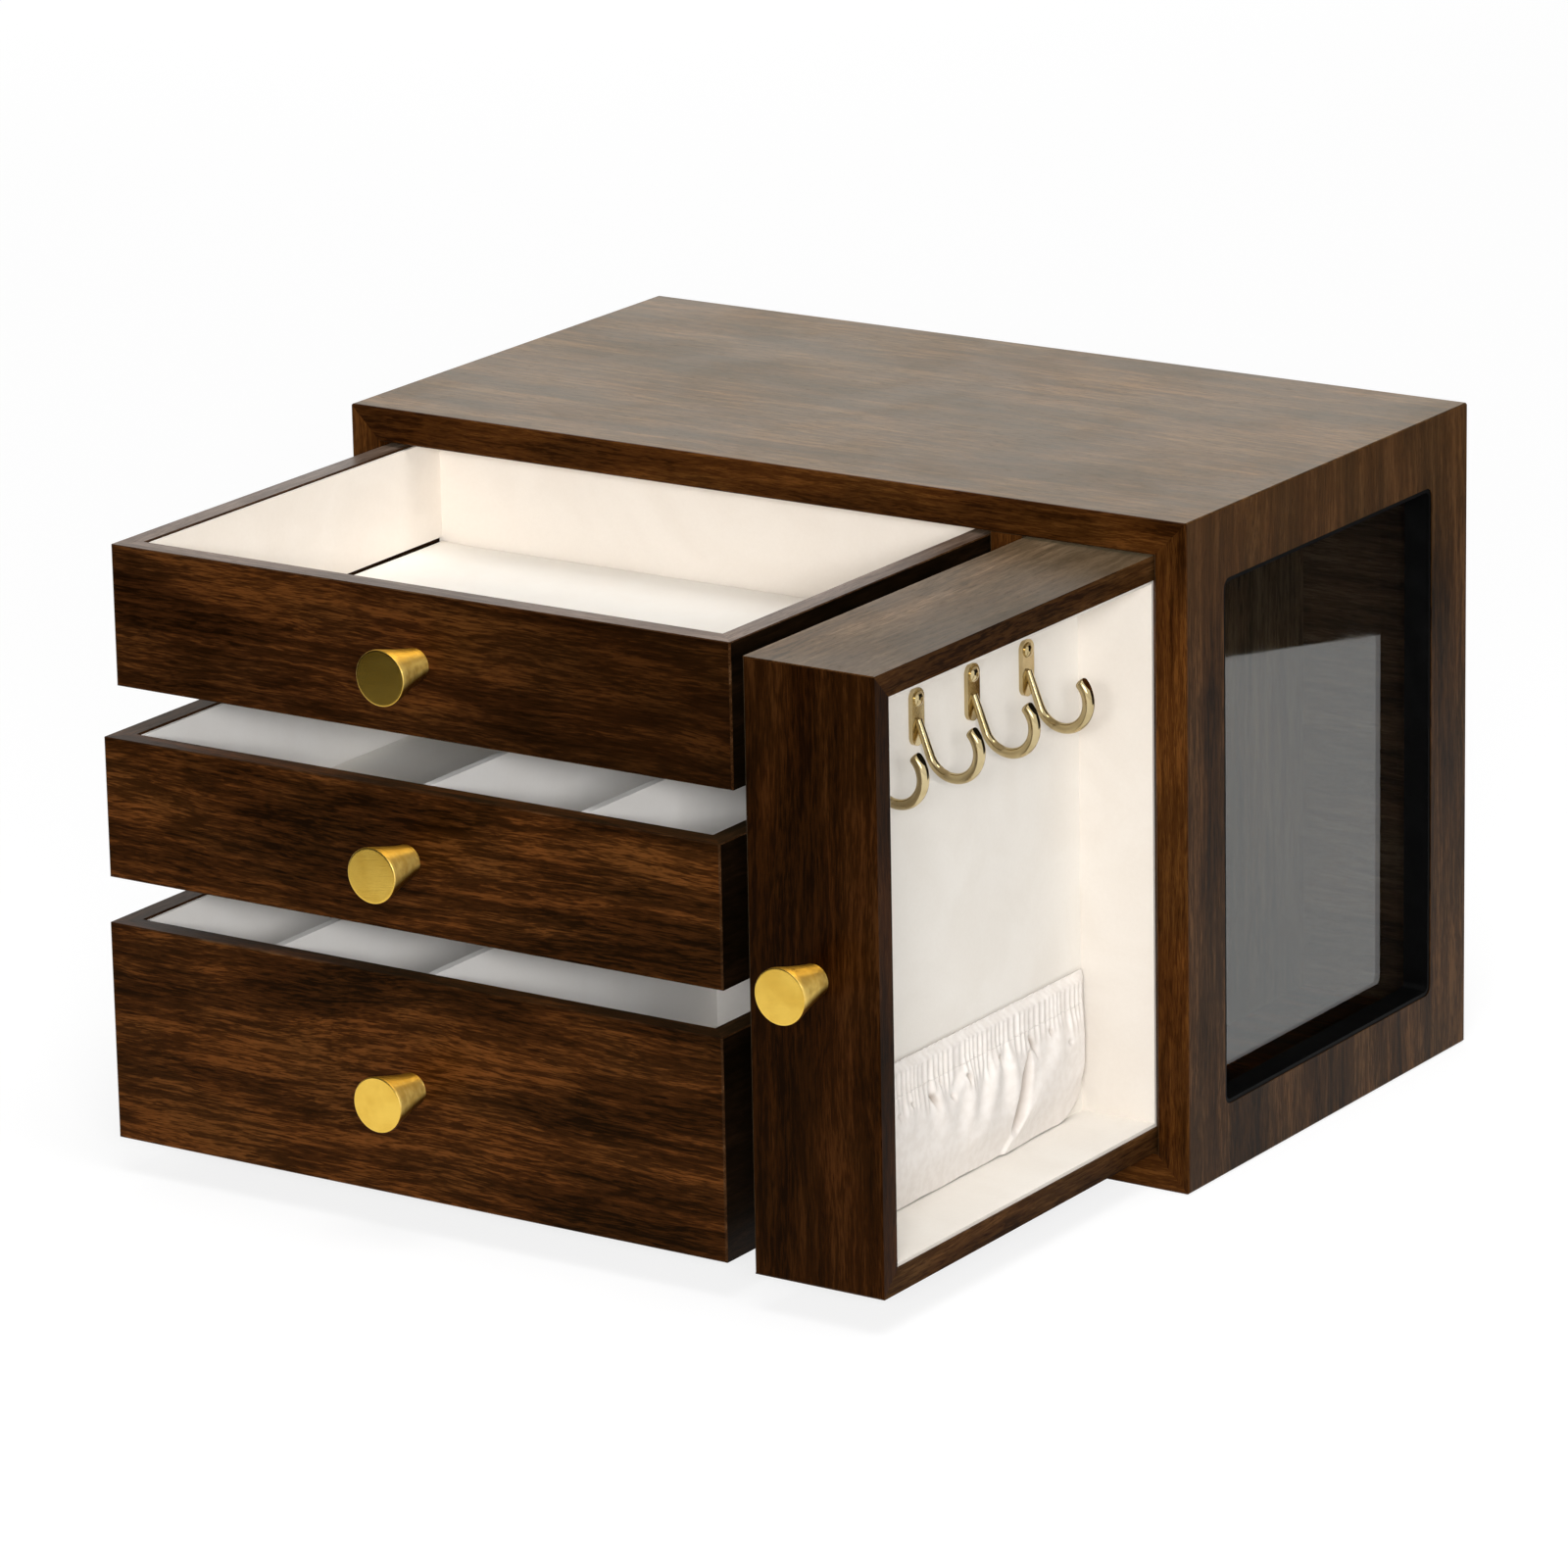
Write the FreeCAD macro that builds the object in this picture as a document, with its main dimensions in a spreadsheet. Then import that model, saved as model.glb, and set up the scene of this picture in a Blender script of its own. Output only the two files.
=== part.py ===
import FreeCAD, Part
import Sketcher
import math
import os

# Jewellery box in millimetres: a veneered case with a glazed right side, three lined drawers
# and a lined necklace tray that slide out of its front. +X is to the right seen from the front,
# +Y to the back and +Z up. The origin is the middle of the case's underside.
# The drawers and the tray are drawn pulled out, each by its own pull.

DIMENSIONS = [
    # Case
    ("case_width", 280.0),
    ("case_depth", 157.0),
    ("case_height", 192.0),
    ("panel_thickness", 10.0),
    ("back_thickness", 4.0),
    ("back_rabbet", 5.0),
    ("board_fit", 0.2),
    ("edging_thickness", 1.0),
    ("groove_depth", 2.0),
    ("divider_thickness", 10.0),
    ("shelf_thickness", 11.5),
    ("tray_bay_width", 42.6),
    ("shallow_opening", 42.1),
    ("arris", 0.5),
    ("edging_arris", 0.4),
    # Window in the right side
    ("window_margin", 20.2),
    ("window_corner", 3.0),
    ("window_frame_wall", 1.2),
    ("window_frame_setback", 0.3),
    ("pane_thickness", 1.8),
    ("pane_overlap", 5.0),
    # Drawers
    ("drawer_back_gap", 1.0),
    ("drawer_side_gap", 0.8),
    ("running_gap", 0.3),
    ("head_gap", 1.2),
    ("drawer_wall", 6.8),
    ("base_thickness", 3.0),
    ("base_lift", 3.5),
    ("base_groove", 2.5),
    ("board_arris", 0.3),
    ("lining_thickness", 1.0),
    ("lining_drop", 0.6),
    ("lining_slit", 1.1),
    ("pad_thickness", 3.0),
    ("pad_gap", 0.5),
    ("partition_thickness", 2.5),
    ("partition_pitch", 52.0),
    ("partition_shift", 1.8),
    ("top_drawer_tail", 25.0),
    ("middle_drawer_tail", 18.2),
    ("bottom_drawer_tail", 17.4),
    # Necklace tray
    ("tray_back_gap", 5.0),
    ("tray_left_gap", 0.4),
    ("tray_right_gap", 1.4),
    ("tray_head_gap", 0.7),
    ("tray_wall", 7.0),
    ("tray_outer_skin", 5.0),
    ("tray_hollow", 6.5),
    ("hook_board_thickness", 4.0),
    ("tray_tail", 10.0),
    # Necklace hooks
    ("hook_count", 4),
    ("hook_front_margin", 21.3),
    ("hook_rear_margin", 27.6),
    ("hook_drop", 19.6),
    ("hook_plate_length", 17.0),
    ("hook_plate_width", 6.0),
    ("hook_plate_end_ease", 0.05),
    ("hook_plate_thickness", 1.2),
    ("hook_leg_radius", 1.05),
    ("hook_leg_length", 10.2),
    ("hook_leg_lean", 20.5),
    ("hook_bend_radius", 8.0),
    ("hook_root_out", 1.15),
    ("hook_bend_rise", 1.0),
    ("hook_tip_radius", 1.85),
    ("hook_tip_angle", 49.0),
    ("hook_end_flat", 0.9),
    ("hook_facet_rise", 1.4),
    ("hook_facet_angle", 39.0),
    ("hook_screw_rise", 13.5),
    ("hook_screw_radius", 1.0),
    ("hook_screw_head_radius", 2.1),
    ("hook_screw_head_height", 1.1),
    ("hook_screw_head_rim", 0.35),
    ("hook_screw_head_flat", 0.6),
    ("hook_screw_dome_radius", 2.4),
    ("hook_screw_length", 4.6),
    ("screw_fit", 0.05),
    # Gathered pocket
    ("pocket_height", 41.5),
    ("pocket_belly", 6.0),
    ("pocket_shoulder", 4.3),
    ("pocket_neck", 2.6),
    ("pocket_seam", 2.0),
    ("pocket_corner", 16.0),
    ("pocket_gap", 0.3),
    ("band_height", 9.0),
    ("band_root", 2.4),
    ("band_lip", 1.8),
    ("fold_count", 11),
    ("fold_swell", 1.5),
    ("fold_drift", 0.3),
    ("ruffle_count", 26),
    ("ruffle_swell", 0.45),
    ("ruffle_drift", 0.15),
    # Knobs
    ("knob_length", 16.0),
    ("knob_face_radius", 7.9),
    ("knob_rim", 1.0),
    ("knob_rim_break", 0.5),
    ("knob_base_radius", 4.7),
    ("knob_flare_radius", 30.0),
    ("knob_bore_depth", 9.0),
    ("knob_screw_radius", 1.9),
    ("knob_screw_gap", 0.2),
    ("knob_screw_reach", 8.0),
    ("knob_screw_head_radius", 3.6),
    ("knob_screw_head_height", 2.2),
    ("knob_screw_head_bevel", 1.1),
    ("counterbore_gap", 0.4),
]

# Places that several pieces share, in the case's own corner frame: x from its left face,
# y from its front, z from its underside.
INNER_RIGHT = "(dims.case_width - dims.panel_thickness)"
INNER_TOP = "(dims.case_height - dims.panel_thickness)"
DIVIDER_RIGHT = "(dims.case_width - dims.panel_thickness - dims.tray_bay_width)"
DIVIDER_LEFT = "(dims.case_width - dims.panel_thickness - dims.tray_bay_width - dims.divider_thickness)"
UPPER_SHELF_TOP = "(dims.case_height - dims.panel_thickness - dims.shallow_opening)"
UPPER_SHELF_LOW = "(dims.case_height - dims.panel_thickness - dims.shallow_opening - dims.shelf_thickness)"
LOWER_SHELF_TOP = (
    "(dims.case_height - dims.panel_thickness - 2 * dims.shallow_opening - dims.shelf_thickness)")
LOWER_SHELF_LOW = (
    "(dims.case_height - dims.panel_thickness - 2 * dims.shallow_opening - 2 * dims.shelf_thickness)")
BACK_FACE = "(dims.case_depth - dims.back_thickness)"
DRAWER_LENGTH = "(dims.case_depth - dims.back_thickness - dims.drawer_back_gap)"
DRAWER_WIDTH = (
    "(dims.case_width - 2 * dims.panel_thickness - dims.tray_bay_width - dims.divider_thickness"
    " - 2 * dims.drawer_side_gap)")
SHALLOW_DRAWER_HEIGHT = "(dims.shallow_opening - dims.running_gap - dims.head_gap)"
DEEP_DRAWER_HEIGHT = (
    "(dims.case_height - 2 * dims.panel_thickness - 2 * dims.shallow_opening"
    " - 2 * dims.shelf_thickness - dims.running_gap - dims.head_gap)")
TRAY_WIDTH = "(dims.tray_bay_width - dims.tray_left_gap - dims.tray_right_gap)"
TRAY_HEIGHT = (
    "(dims.case_height - 2 * dims.panel_thickness - dims.running_gap - dims.tray_head_gap)")
TRAY_LENGTH = "(dims.case_depth - dims.back_thickness - dims.tray_back_gap)"
LINING_FACE = (
    "(dims.tray_outer_skin + dims.tray_hollow + dims.hook_board_thickness + dims.lining_thickness)")
TRAY_RECESS = "(%s - %s)" % (TRAY_WIDTH, LINING_FACE)
HOOK_PITCH = (
    "((%s - 2 * dims.tray_wall - 2 * dims.lining_thickness - dims.hook_front_margin"
    " - dims.hook_rear_margin) / (dims.hook_count - 1))" % TRAY_LENGTH)
FIRST_HOOK = "(dims.tray_wall + dims.lining_thickness + dims.hook_front_margin)"
HOOK_BEND_OUT = (
    "(dims.hook_root_out + dims.hook_bend_radius * cos(dims.hook_leg_lean)"
    " + dims.hook_leg_length * sin(dims.hook_leg_lean))")
HOOK_FOOT = "(%s - dims.hook_drop - dims.hook_plate_length)" % TRAY_HEIGHT
CASE_CORNER = ("-dims.case_width / 2", "-dims.case_depth / 2", "0")

doc = FreeCAD.newDocument("jewellery_box")
dims = doc.addObject("Spreadsheet::Sheet", "dims")
nodes = []


def fill_sheet():
    for row, (alias, size) in enumerate(DIMENSIONS, start=1):
        dims.set("A%d" % row, alias)
        dims.set("B%d" % row, str(size))
        dims.setAlias("B%d" % row, alias)
    doc.recompute()


def value(expression):
    return float(dims.evalExpression(expression))


# Sketch helpers

def pin(sketch, geometry, point, x, y):
    """Hold a point of the sketch at the expressions x and y."""
    for kind, axis, expression in (("DistanceX", -2, x), ("DistanceY", -1, y)):
        if expression == "0":
            sketch.addConstraint(Sketcher.Constraint("PointOnObject", geometry, point, axis))
            continue
        index = sketch.addConstraint(
            Sketcher.Constraint(kind, -1, 1, geometry, point, value(expression)))
        sketch.setExpression("Constraints[%d]" % index, expression)


def arc_middle(start, end, radius):
    """Middle of the arc from start to end that bulges to the left of the chord for a radius above 0."""
    chord = end - start
    side = FreeCAD.Vector(-chord.y, chord.x, 0).normalize()
    half = chord.Length / 2
    rise = abs(radius) - math.sqrt(radius * radius - half * half)
    return (start + end) * 0.5 + side * math.copysign(rise, radius)


def outline(*corners, closed=True):
    """Outline of lines; a corner with a third item starts an arc of that radius."""
    def draw(sketch):
        spots = [FreeCAD.Vector(value(corner[0]), value(corner[1]), 0) for corner in corners]
        ends = []
        for k, corner in enumerate(corners if closed else corners[:-1]):
            start, end = spots[k], spots[(k + 1) % len(spots)]
            if len(corner) == 3:
                edge = Part.Arc(start, arc_middle(start, end, value(corner[2])), end)
            else:
                edge = Part.LineSegment(start, end)
            geometry = sketch.addGeometry(edge, False)
            first = 1 if (sketch.getPoint(geometry, 1) - start).Length < 1e-6 else 2
            ends.append((geometry, first, 3 - first))
        for k, (geometry, first, last) in enumerate(ends):
            if closed or k > 0:
                before = ends[k - 1]
                sketch.addConstraint(
                    Sketcher.Constraint("Coincident", before[0], before[2], geometry, first))
            pin(sketch, geometry, first, corners[k][0], corners[k][1])
            if len(corners[k]) == 3:
                radius = sketch.addConstraint(
                    Sketcher.Constraint("Radius", geometry, abs(value(corners[k][2]))))
                sketch.setExpression("Constraints[%d]" % radius, "abs(%s)" % corners[k][2])
        if not closed:
            pin(sketch, ends[-1][0], ends[-1][2], corners[-1][0], corners[-1][1])
    return draw


def rectangle(left, low, right, high):
    return outline((left, low), (right, low), (right, high), (left, high))


def circle(x, y, radius):
    def draw(sketch):
        centre = FreeCAD.Vector(value(x), value(y), 0)
        upright = FreeCAD.Vector(0, 0, 1)
        geometry = sketch.addGeometry(Part.Circle(centre, upright, value(radius)), False)
        pin(sketch, geometry, 3, x, y)
        index = sketch.addConstraint(Sketcher.Constraint("Radius", geometry, value(radius)))
        sketch.setExpression("Constraints[%d]" % index, radius)
    return draw


def sketch_on(body, role, at, loops):
    """Sketch on one of the body's origin planes, moved along the plane's normal to at."""
    sketch = body.newObject("Sketcher::SketchObject", "outline")
    plane = next(item for item in body.Origin.OriginFeatures if item.Role == role)
    sketch.AttachmentSupport = [(plane, "")]
    sketch.MapMode = "FlatFace"
    towards = "-(%s)" % at if role == "XZ_Plane" else at
    if at != "0":
        sketch.setExpression("AttachmentOffset.Base.z", towards)
    for draw in loops:
        draw(sketch)
    return sketch


# Body helpers

def new_body(label, place, turn=None):
    """Body with its own corner at place, turned about +Z where turn is given."""
    body = doc.addObject("PartDesign::Body", label)
    body.Label = label
    if turn is not None:
        body.Placement.Rotation = FreeCAD.Rotation(FreeCAD.Vector(0, 0, 1), turn)
    for axis, expression in zip("xyz", place):
        body.setExpression("Placement.Base." + axis, expression)
    return body


def pad(body, role, at, loops, length):
    """Pad towards +X, +Y or +Z, whichever is normal to the plane."""
    sketch = sketch_on(body, role, at, loops)
    feature = body.newObject("PartDesign::Pad", "pad")
    feature.Profile = sketch
    feature.Reversed = role == "XZ_Plane"
    feature.setExpression("Length", length)
    doc.recompute()
    return feature


def pocket(body, role, at, loops, depth, forwards=True):
    """Pocket from the plane towards +X, +Y or +Z, or the other way; it has to remove material."""
    before = body.Shape.Volume
    sketch = sketch_on(body, role, at, loops)
    feature = body.newObject("PartDesign::Pocket", "pocket")
    feature.Profile = sketch
    feature.Reversed = forwards != (role == "XZ_Plane")
    feature.setExpression("Length", depth)
    doc.recompute()
    if body.Shape.Volume > before - 1e-3:
        raise RuntimeError("pocket removes nothing in " + body.Label)
    return feature


def revolve(body, role, loops, axis):
    """Full turn of the outline about a sketch axis."""
    sketch = sketch_on(body, role, "0", loops)
    feature = body.newObject("PartDesign::Revolution", "revolution")
    feature.Profile = sketch
    feature.ReferenceAxis = (sketch, [axis])
    feature.Angle = 360
    doc.recompute()
    return feature


def edges_where(shape, test):
    return ["Edge%d" % (k + 1) for k, edge in enumerate(shape.Edges) if test(edge)]


def lies_at(edge, axis, position):
    """Whether the edge is straight and lies in the plane where the axis has that value."""
    box = edge.BoundBox
    low, high = {"x": (box.XMin, box.XMax), "y": (box.YMin, box.YMax), "z": (box.ZMin, box.ZMax)}[axis]
    straight = isinstance(edge.Curve, (Part.Line, Part.LineSegment))
    return straight and abs(low - position) < 1e-4 and abs(high - position) < 1e-4


def dress(body, kind, size_name, size, test):
    """Chamfer or fillet every edge of the body's last feature that passes the test."""
    base = body.Tip
    local = base.Shape.copy()
    names = edges_where(local, test)
    feature = body.newObject("PartDesign::" + kind, kind.lower())
    feature.Base = (base, names)
    feature.setExpression(size_name, size)
    doc.recompute()
    return feature


def ease(body, test, size="dims.arris"):
    """Take the sharp arris off the edges that pass the test."""
    return dress(body, "Chamfer", "Size", size, test)


def runs_straight(edge):
    """Whether the edge is parallel to one of the axes."""
    box = edge.BoundBox
    return sum(length > 1e-6 for length in (box.XLength, box.YLength, box.ZLength)) == 1


def keep(node):
    nodes.append(node)
    return node


def group(label, pieces):
    """One node that holds several separate pieces."""
    compound = doc.addObject("Part::Compound", label)
    compound.Label = label
    compound.Links = pieces
    doc.recompute()
    return keep(compound)


# Mitred frames, used by the case's panels, its edging and the necklace tray's walls

def mitred_profile(side, right, high, wall):
    """Cross-section of one member of a frame from (0, 0) to (right, high), mitred at both ends.

    The frame's outer arris is taken off, half of it on each of the two members that meet there.
    """
    arris, half = "dims.arris", "(dims.arris / 2)"
    inner_right, inner_high = "(%s - %s)" % (right, wall), "(%s - %s)" % (high, wall)
    right_in, high_in = "(%s - %s)" % (right, arris), "(%s - %s)" % (high, arris)
    right_half, high_half = "(%s - %s)" % (right, half), "(%s - %s)" % (high, half)
    return {
        "bottom": [(half, half), (arris, "0"), (right_in, "0"), (right_half, half),
                   (inner_right, wall), (wall, wall)],
        "right": [(right_half, half), (right, arris), (right, high_in), (right_half, high_half),
                  (inner_right, inner_high), (inner_right, wall)],
        "top": [(right_half, high_half), (right_in, high), (arris, high), (half, high_half),
                (wall, inner_high), (inner_right, inner_high)],
        "left": [(half, high_half), ("0", high_in), ("0", arris), (half, half),
                 (wall, wall), (wall, inner_high)],
    }[side]


# Case

def cut_back_rabbet(panel):
    """Step along the panel's rear inner edge that the back board lies in."""
    pocket(panel, "XZ_Plane", BACK_FACE,
           [rectangle("(dims.panel_thickness - dims.back_rabbet)",
                      "(dims.panel_thickness - dims.back_rabbet)",
                      "(dims.case_width - dims.panel_thickness + dims.back_rabbet)",
                      "(dims.case_height - dims.panel_thickness + dims.back_rabbet)")],
           "dims.back_thickness")


def case_panel(label, side):
    """One of the four mitred panels, from behind its edging to the back of the case."""
    panel = new_body(label, CASE_CORNER)
    profile = mitred_profile(side, "dims.case_width", "dims.case_height", "dims.panel_thickness")
    pad(panel, "XZ_Plane", "dims.edging_thickness", [outline(*profile)],
        "(dims.case_depth - dims.edging_thickness)")
    cut_back_rabbet(panel)
    return keep(panel)


def groove(panel, left, low, right, high):
    """Groove along the case's depth, as far as the back board."""
    pocket(panel, "XZ_Plane", "dims.edging_thickness", [rectangle(left, low, right, high)],
           "(dims.case_depth - dims.back_thickness - dims.edging_thickness)")


def build_top_and_bottom():
    top = case_panel("case_top", "top")
    groove(top, DIVIDER_LEFT, INNER_TOP, DIVIDER_RIGHT, "(%s + dims.groove_depth)" % INNER_TOP)
    bottom = case_panel("case_bottom", "bottom")
    groove(bottom, DIVIDER_LEFT, "(dims.panel_thickness - dims.groove_depth)",
           DIVIDER_RIGHT, "dims.panel_thickness")


def build_left_side():
    left = case_panel("case_left_side", "left")
    for low, high in ((UPPER_SHELF_LOW, UPPER_SHELF_TOP), (LOWER_SHELF_LOW, LOWER_SHELF_TOP)):
        groove(left, "(dims.panel_thickness - dims.groove_depth)", low, "dims.panel_thickness", high)


def window_outline(inset, corner):
    """Rounded rectangle in the case's side view, inset from the window's opening."""
    front = "(dims.window_margin + %s)" % inset
    back = "(dims.case_depth - dims.window_margin - %s)" % inset
    low = "(dims.window_margin + %s)" % inset
    high = "(dims.case_height - dims.window_margin - %s)" % inset
    return outline(
        ("(%s + %s)" % (front, corner), low),
        ("(%s - %s)" % (back, corner), low, "-" + corner),
        (back, "(%s + %s)" % (low, corner)),
        (back, "(%s - %s)" % (high, corner), "-" + corner),
        ("(%s - %s)" % (back, corner), high),
        ("(%s + %s)" % (front, corner), high, "-" + corner),
        (front, "(%s - %s)" % (high, corner)),
        (front, "(%s + %s)" % (low, corner), "-" + corner))


def build_right_side():
    """Right panel with the window's opening and the rebate that holds its pane from inside."""
    right = case_panel("case_right_side", "right")
    pocket(right, "YZ_Plane", INNER_RIGHT, [window_outline("0", "dims.window_corner")],
           "dims.panel_thickness")
    pocket(right, "YZ_Plane", INNER_RIGHT,
           [rectangle("(dims.window_margin - dims.pane_overlap)",
                      "(dims.window_margin - dims.pane_overlap)",
                      "(dims.case_depth - dims.window_margin + dims.pane_overlap)",
                      "(dims.case_height - dims.window_margin + dims.pane_overlap)")],
           "dims.pane_thickness")


def build_back():
    edge = "(dims.panel_thickness - dims.back_rabbet + dims.board_fit)"
    back = new_body("case_back", CASE_CORNER)
    pad(back, "XZ_Plane", BACK_FACE,
        [rectangle(edge, edge, "(dims.case_width - %s)" % edge, "(dims.case_height - %s)" % edge)],
        "dims.back_thickness")
    keep(back)


def build_inner_boards():
    """Divider and shelves, each let into the grooves of its neighbours."""
    depth = "(%s - dims.edging_thickness)" % BACK_FACE
    divider = new_body("centre_divider", CASE_CORNER)
    pad(divider, "XZ_Plane", "dims.edging_thickness",
        [rectangle(DIVIDER_LEFT, "(dims.panel_thickness - dims.groove_depth)",
                   DIVIDER_RIGHT, "(%s + dims.groove_depth)" % INNER_TOP)], depth)
    keep(divider)
    levels = (("upper_shelf", UPPER_SHELF_LOW, UPPER_SHELF_TOP),
              ("lower_shelf", LOWER_SHELF_LOW, LOWER_SHELF_TOP))
    for label, low, high in levels:
        groove(divider, DIVIDER_LEFT, low, "(%s + dims.groove_depth)" % DIVIDER_LEFT, high)
        shelf = new_body(label, CASE_CORNER)
        pad(shelf, "XZ_Plane", "dims.edging_thickness",
            [rectangle("(dims.panel_thickness - dims.groove_depth)", low,
                       "(%s + dims.groove_depth)" % DIVIDER_LEFT, high)], depth)
        keep(shelf)


def ease_front(strip):
    """Take the arrises off the strip's front face, along its length."""
    ease(strip, lambda edge: lies_at(edge, "y", 0) and runs_straight(edge)
         and edge.Length > value("dims.panel_thickness") + 1, "dims.edging_arris")


def build_edging():
    """Veneer strips on the front edges, mitred round the case and square inside it."""
    strips = []
    for side in ("top", "bottom", "left", "right"):
        strip = new_body("edging_strip_" + side, CASE_CORNER)
        profile = mitred_profile(side, "dims.case_width", "dims.case_height", "dims.panel_thickness")
        pad(strip, "XZ_Plane", "0", [outline(*profile)], "dims.edging_thickness")
        ease_front(strip)
        strips.append(strip)
    group("front_edging", strips)
    upright = new_body("divider_edging", CASE_CORNER)
    pad(upright, "XZ_Plane", "0",
        [rectangle(DIVIDER_LEFT, "dims.panel_thickness", DIVIDER_RIGHT, INNER_TOP)],
        "dims.edging_thickness")
    ease(upright, lambda edge: lies_at(edge, "y", 0) and edge.BoundBox.ZLength > 1,
         "dims.edging_arris")
    keep(upright)
    ledges = new_body("shelf_edging", CASE_CORNER)
    pad(ledges, "XZ_Plane", "0",
        [rectangle("dims.panel_thickness", UPPER_SHELF_LOW, DIVIDER_LEFT, UPPER_SHELF_TOP),
         rectangle("dims.panel_thickness", LOWER_SHELF_LOW, DIVIDER_LEFT, LOWER_SHELF_TOP)],
        "dims.edging_thickness")
    ease(ledges, lambda edge: lies_at(edge, "y", 0) and edge.BoundBox.XLength > 1, "dims.edging_arris")
    keep(ledges)


def build_window():
    """Black frame that lines the opening, and the clear pane behind it."""
    frame = new_body("window_frame", CASE_CORNER)
    pane_outside = "(%s + dims.pane_thickness)" % INNER_RIGHT
    pad(frame, "YZ_Plane", pane_outside,
        [window_outline("0", "dims.window_corner"),
         window_outline("dims.window_frame_wall", "(dims.window_corner - dims.window_frame_wall)")],
        "(dims.panel_thickness - dims.pane_thickness - dims.window_frame_setback)")
    keep(frame)
    edge = "(dims.window_margin - dims.pane_overlap + dims.board_fit)"
    pane = new_body("window_pane", CASE_CORNER)
    pad(pane, "YZ_Plane", INNER_RIGHT,
        [rectangle(edge, edge, "(dims.case_depth - %s)" % edge, "(dims.case_height - %s)" % edge)],
        "dims.pane_thickness")
    keep(pane)


# Knobs, shared by the drawers and the tray

def knob_hole(board, x, z, thickness):
    """Screw hole through a front board, with a counterbore for the head on its inner face."""
    pocket(board, "XZ_Plane", "0",
           [circle(x, z, "(dims.knob_screw_radius + dims.knob_screw_gap)")], thickness)
    pocket(board, "XZ_Plane", thickness,
           [circle(x, z, "(dims.knob_screw_head_radius + dims.counterbore_gap)")],
           "(dims.knob_screw_head_height + dims.counterbore_gap)", forwards=False)


def build_knob(prefix, x, y, z, board):
    """Turned knob on the board's face at x, y, z, and the machine screw that holds it."""
    knob = new_body(prefix + "_knob", (x, y, z), turn=180)
    neck = "(dims.knob_length - dims.knob_rim)"
    bore = "(dims.knob_screw_radius + dims.screw_fit)"
    revolve(knob, "XY_Plane", [outline(
        ("0", "dims.knob_bore_depth"),
        (bore, "dims.knob_bore_depth"),
        (bore, "0"),
        ("dims.knob_base_radius", "0", "dims.knob_flare_radius"),
        ("dims.knob_face_radius", neck),
        ("dims.knob_face_radius", "(dims.knob_length - dims.knob_rim_break)"),
        ("(dims.knob_face_radius - dims.knob_rim_break)", "dims.knob_length"),
        ("0", "dims.knob_length"))], "V_Axis")
    keep(knob)
    screw = new_body(prefix + "_knob_screw", (x, y, z), turn=180)
    seat = "(%s - dims.knob_screw_head_height - dims.counterbore_gap)" % board
    head = "(%s + dims.knob_screw_head_height)" % seat
    bevel = "(%s - dims.knob_screw_head_bevel)" % head
    revolve(screw, "XY_Plane", [outline(
        ("0", "dims.knob_screw_reach"),
        ("dims.knob_screw_radius", "dims.knob_screw_reach"),
        ("dims.knob_screw_radius", "-" + seat),
        ("dims.knob_screw_head_radius", "-" + seat),
        ("dims.knob_screw_head_radius", "-" + bevel),
        ("(dims.knob_screw_head_radius - dims.knob_screw_head_bevel)", "-" + head),
        ("0", "-" + head))], "V_Axis")
    keep(screw)


# Drawers

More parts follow.
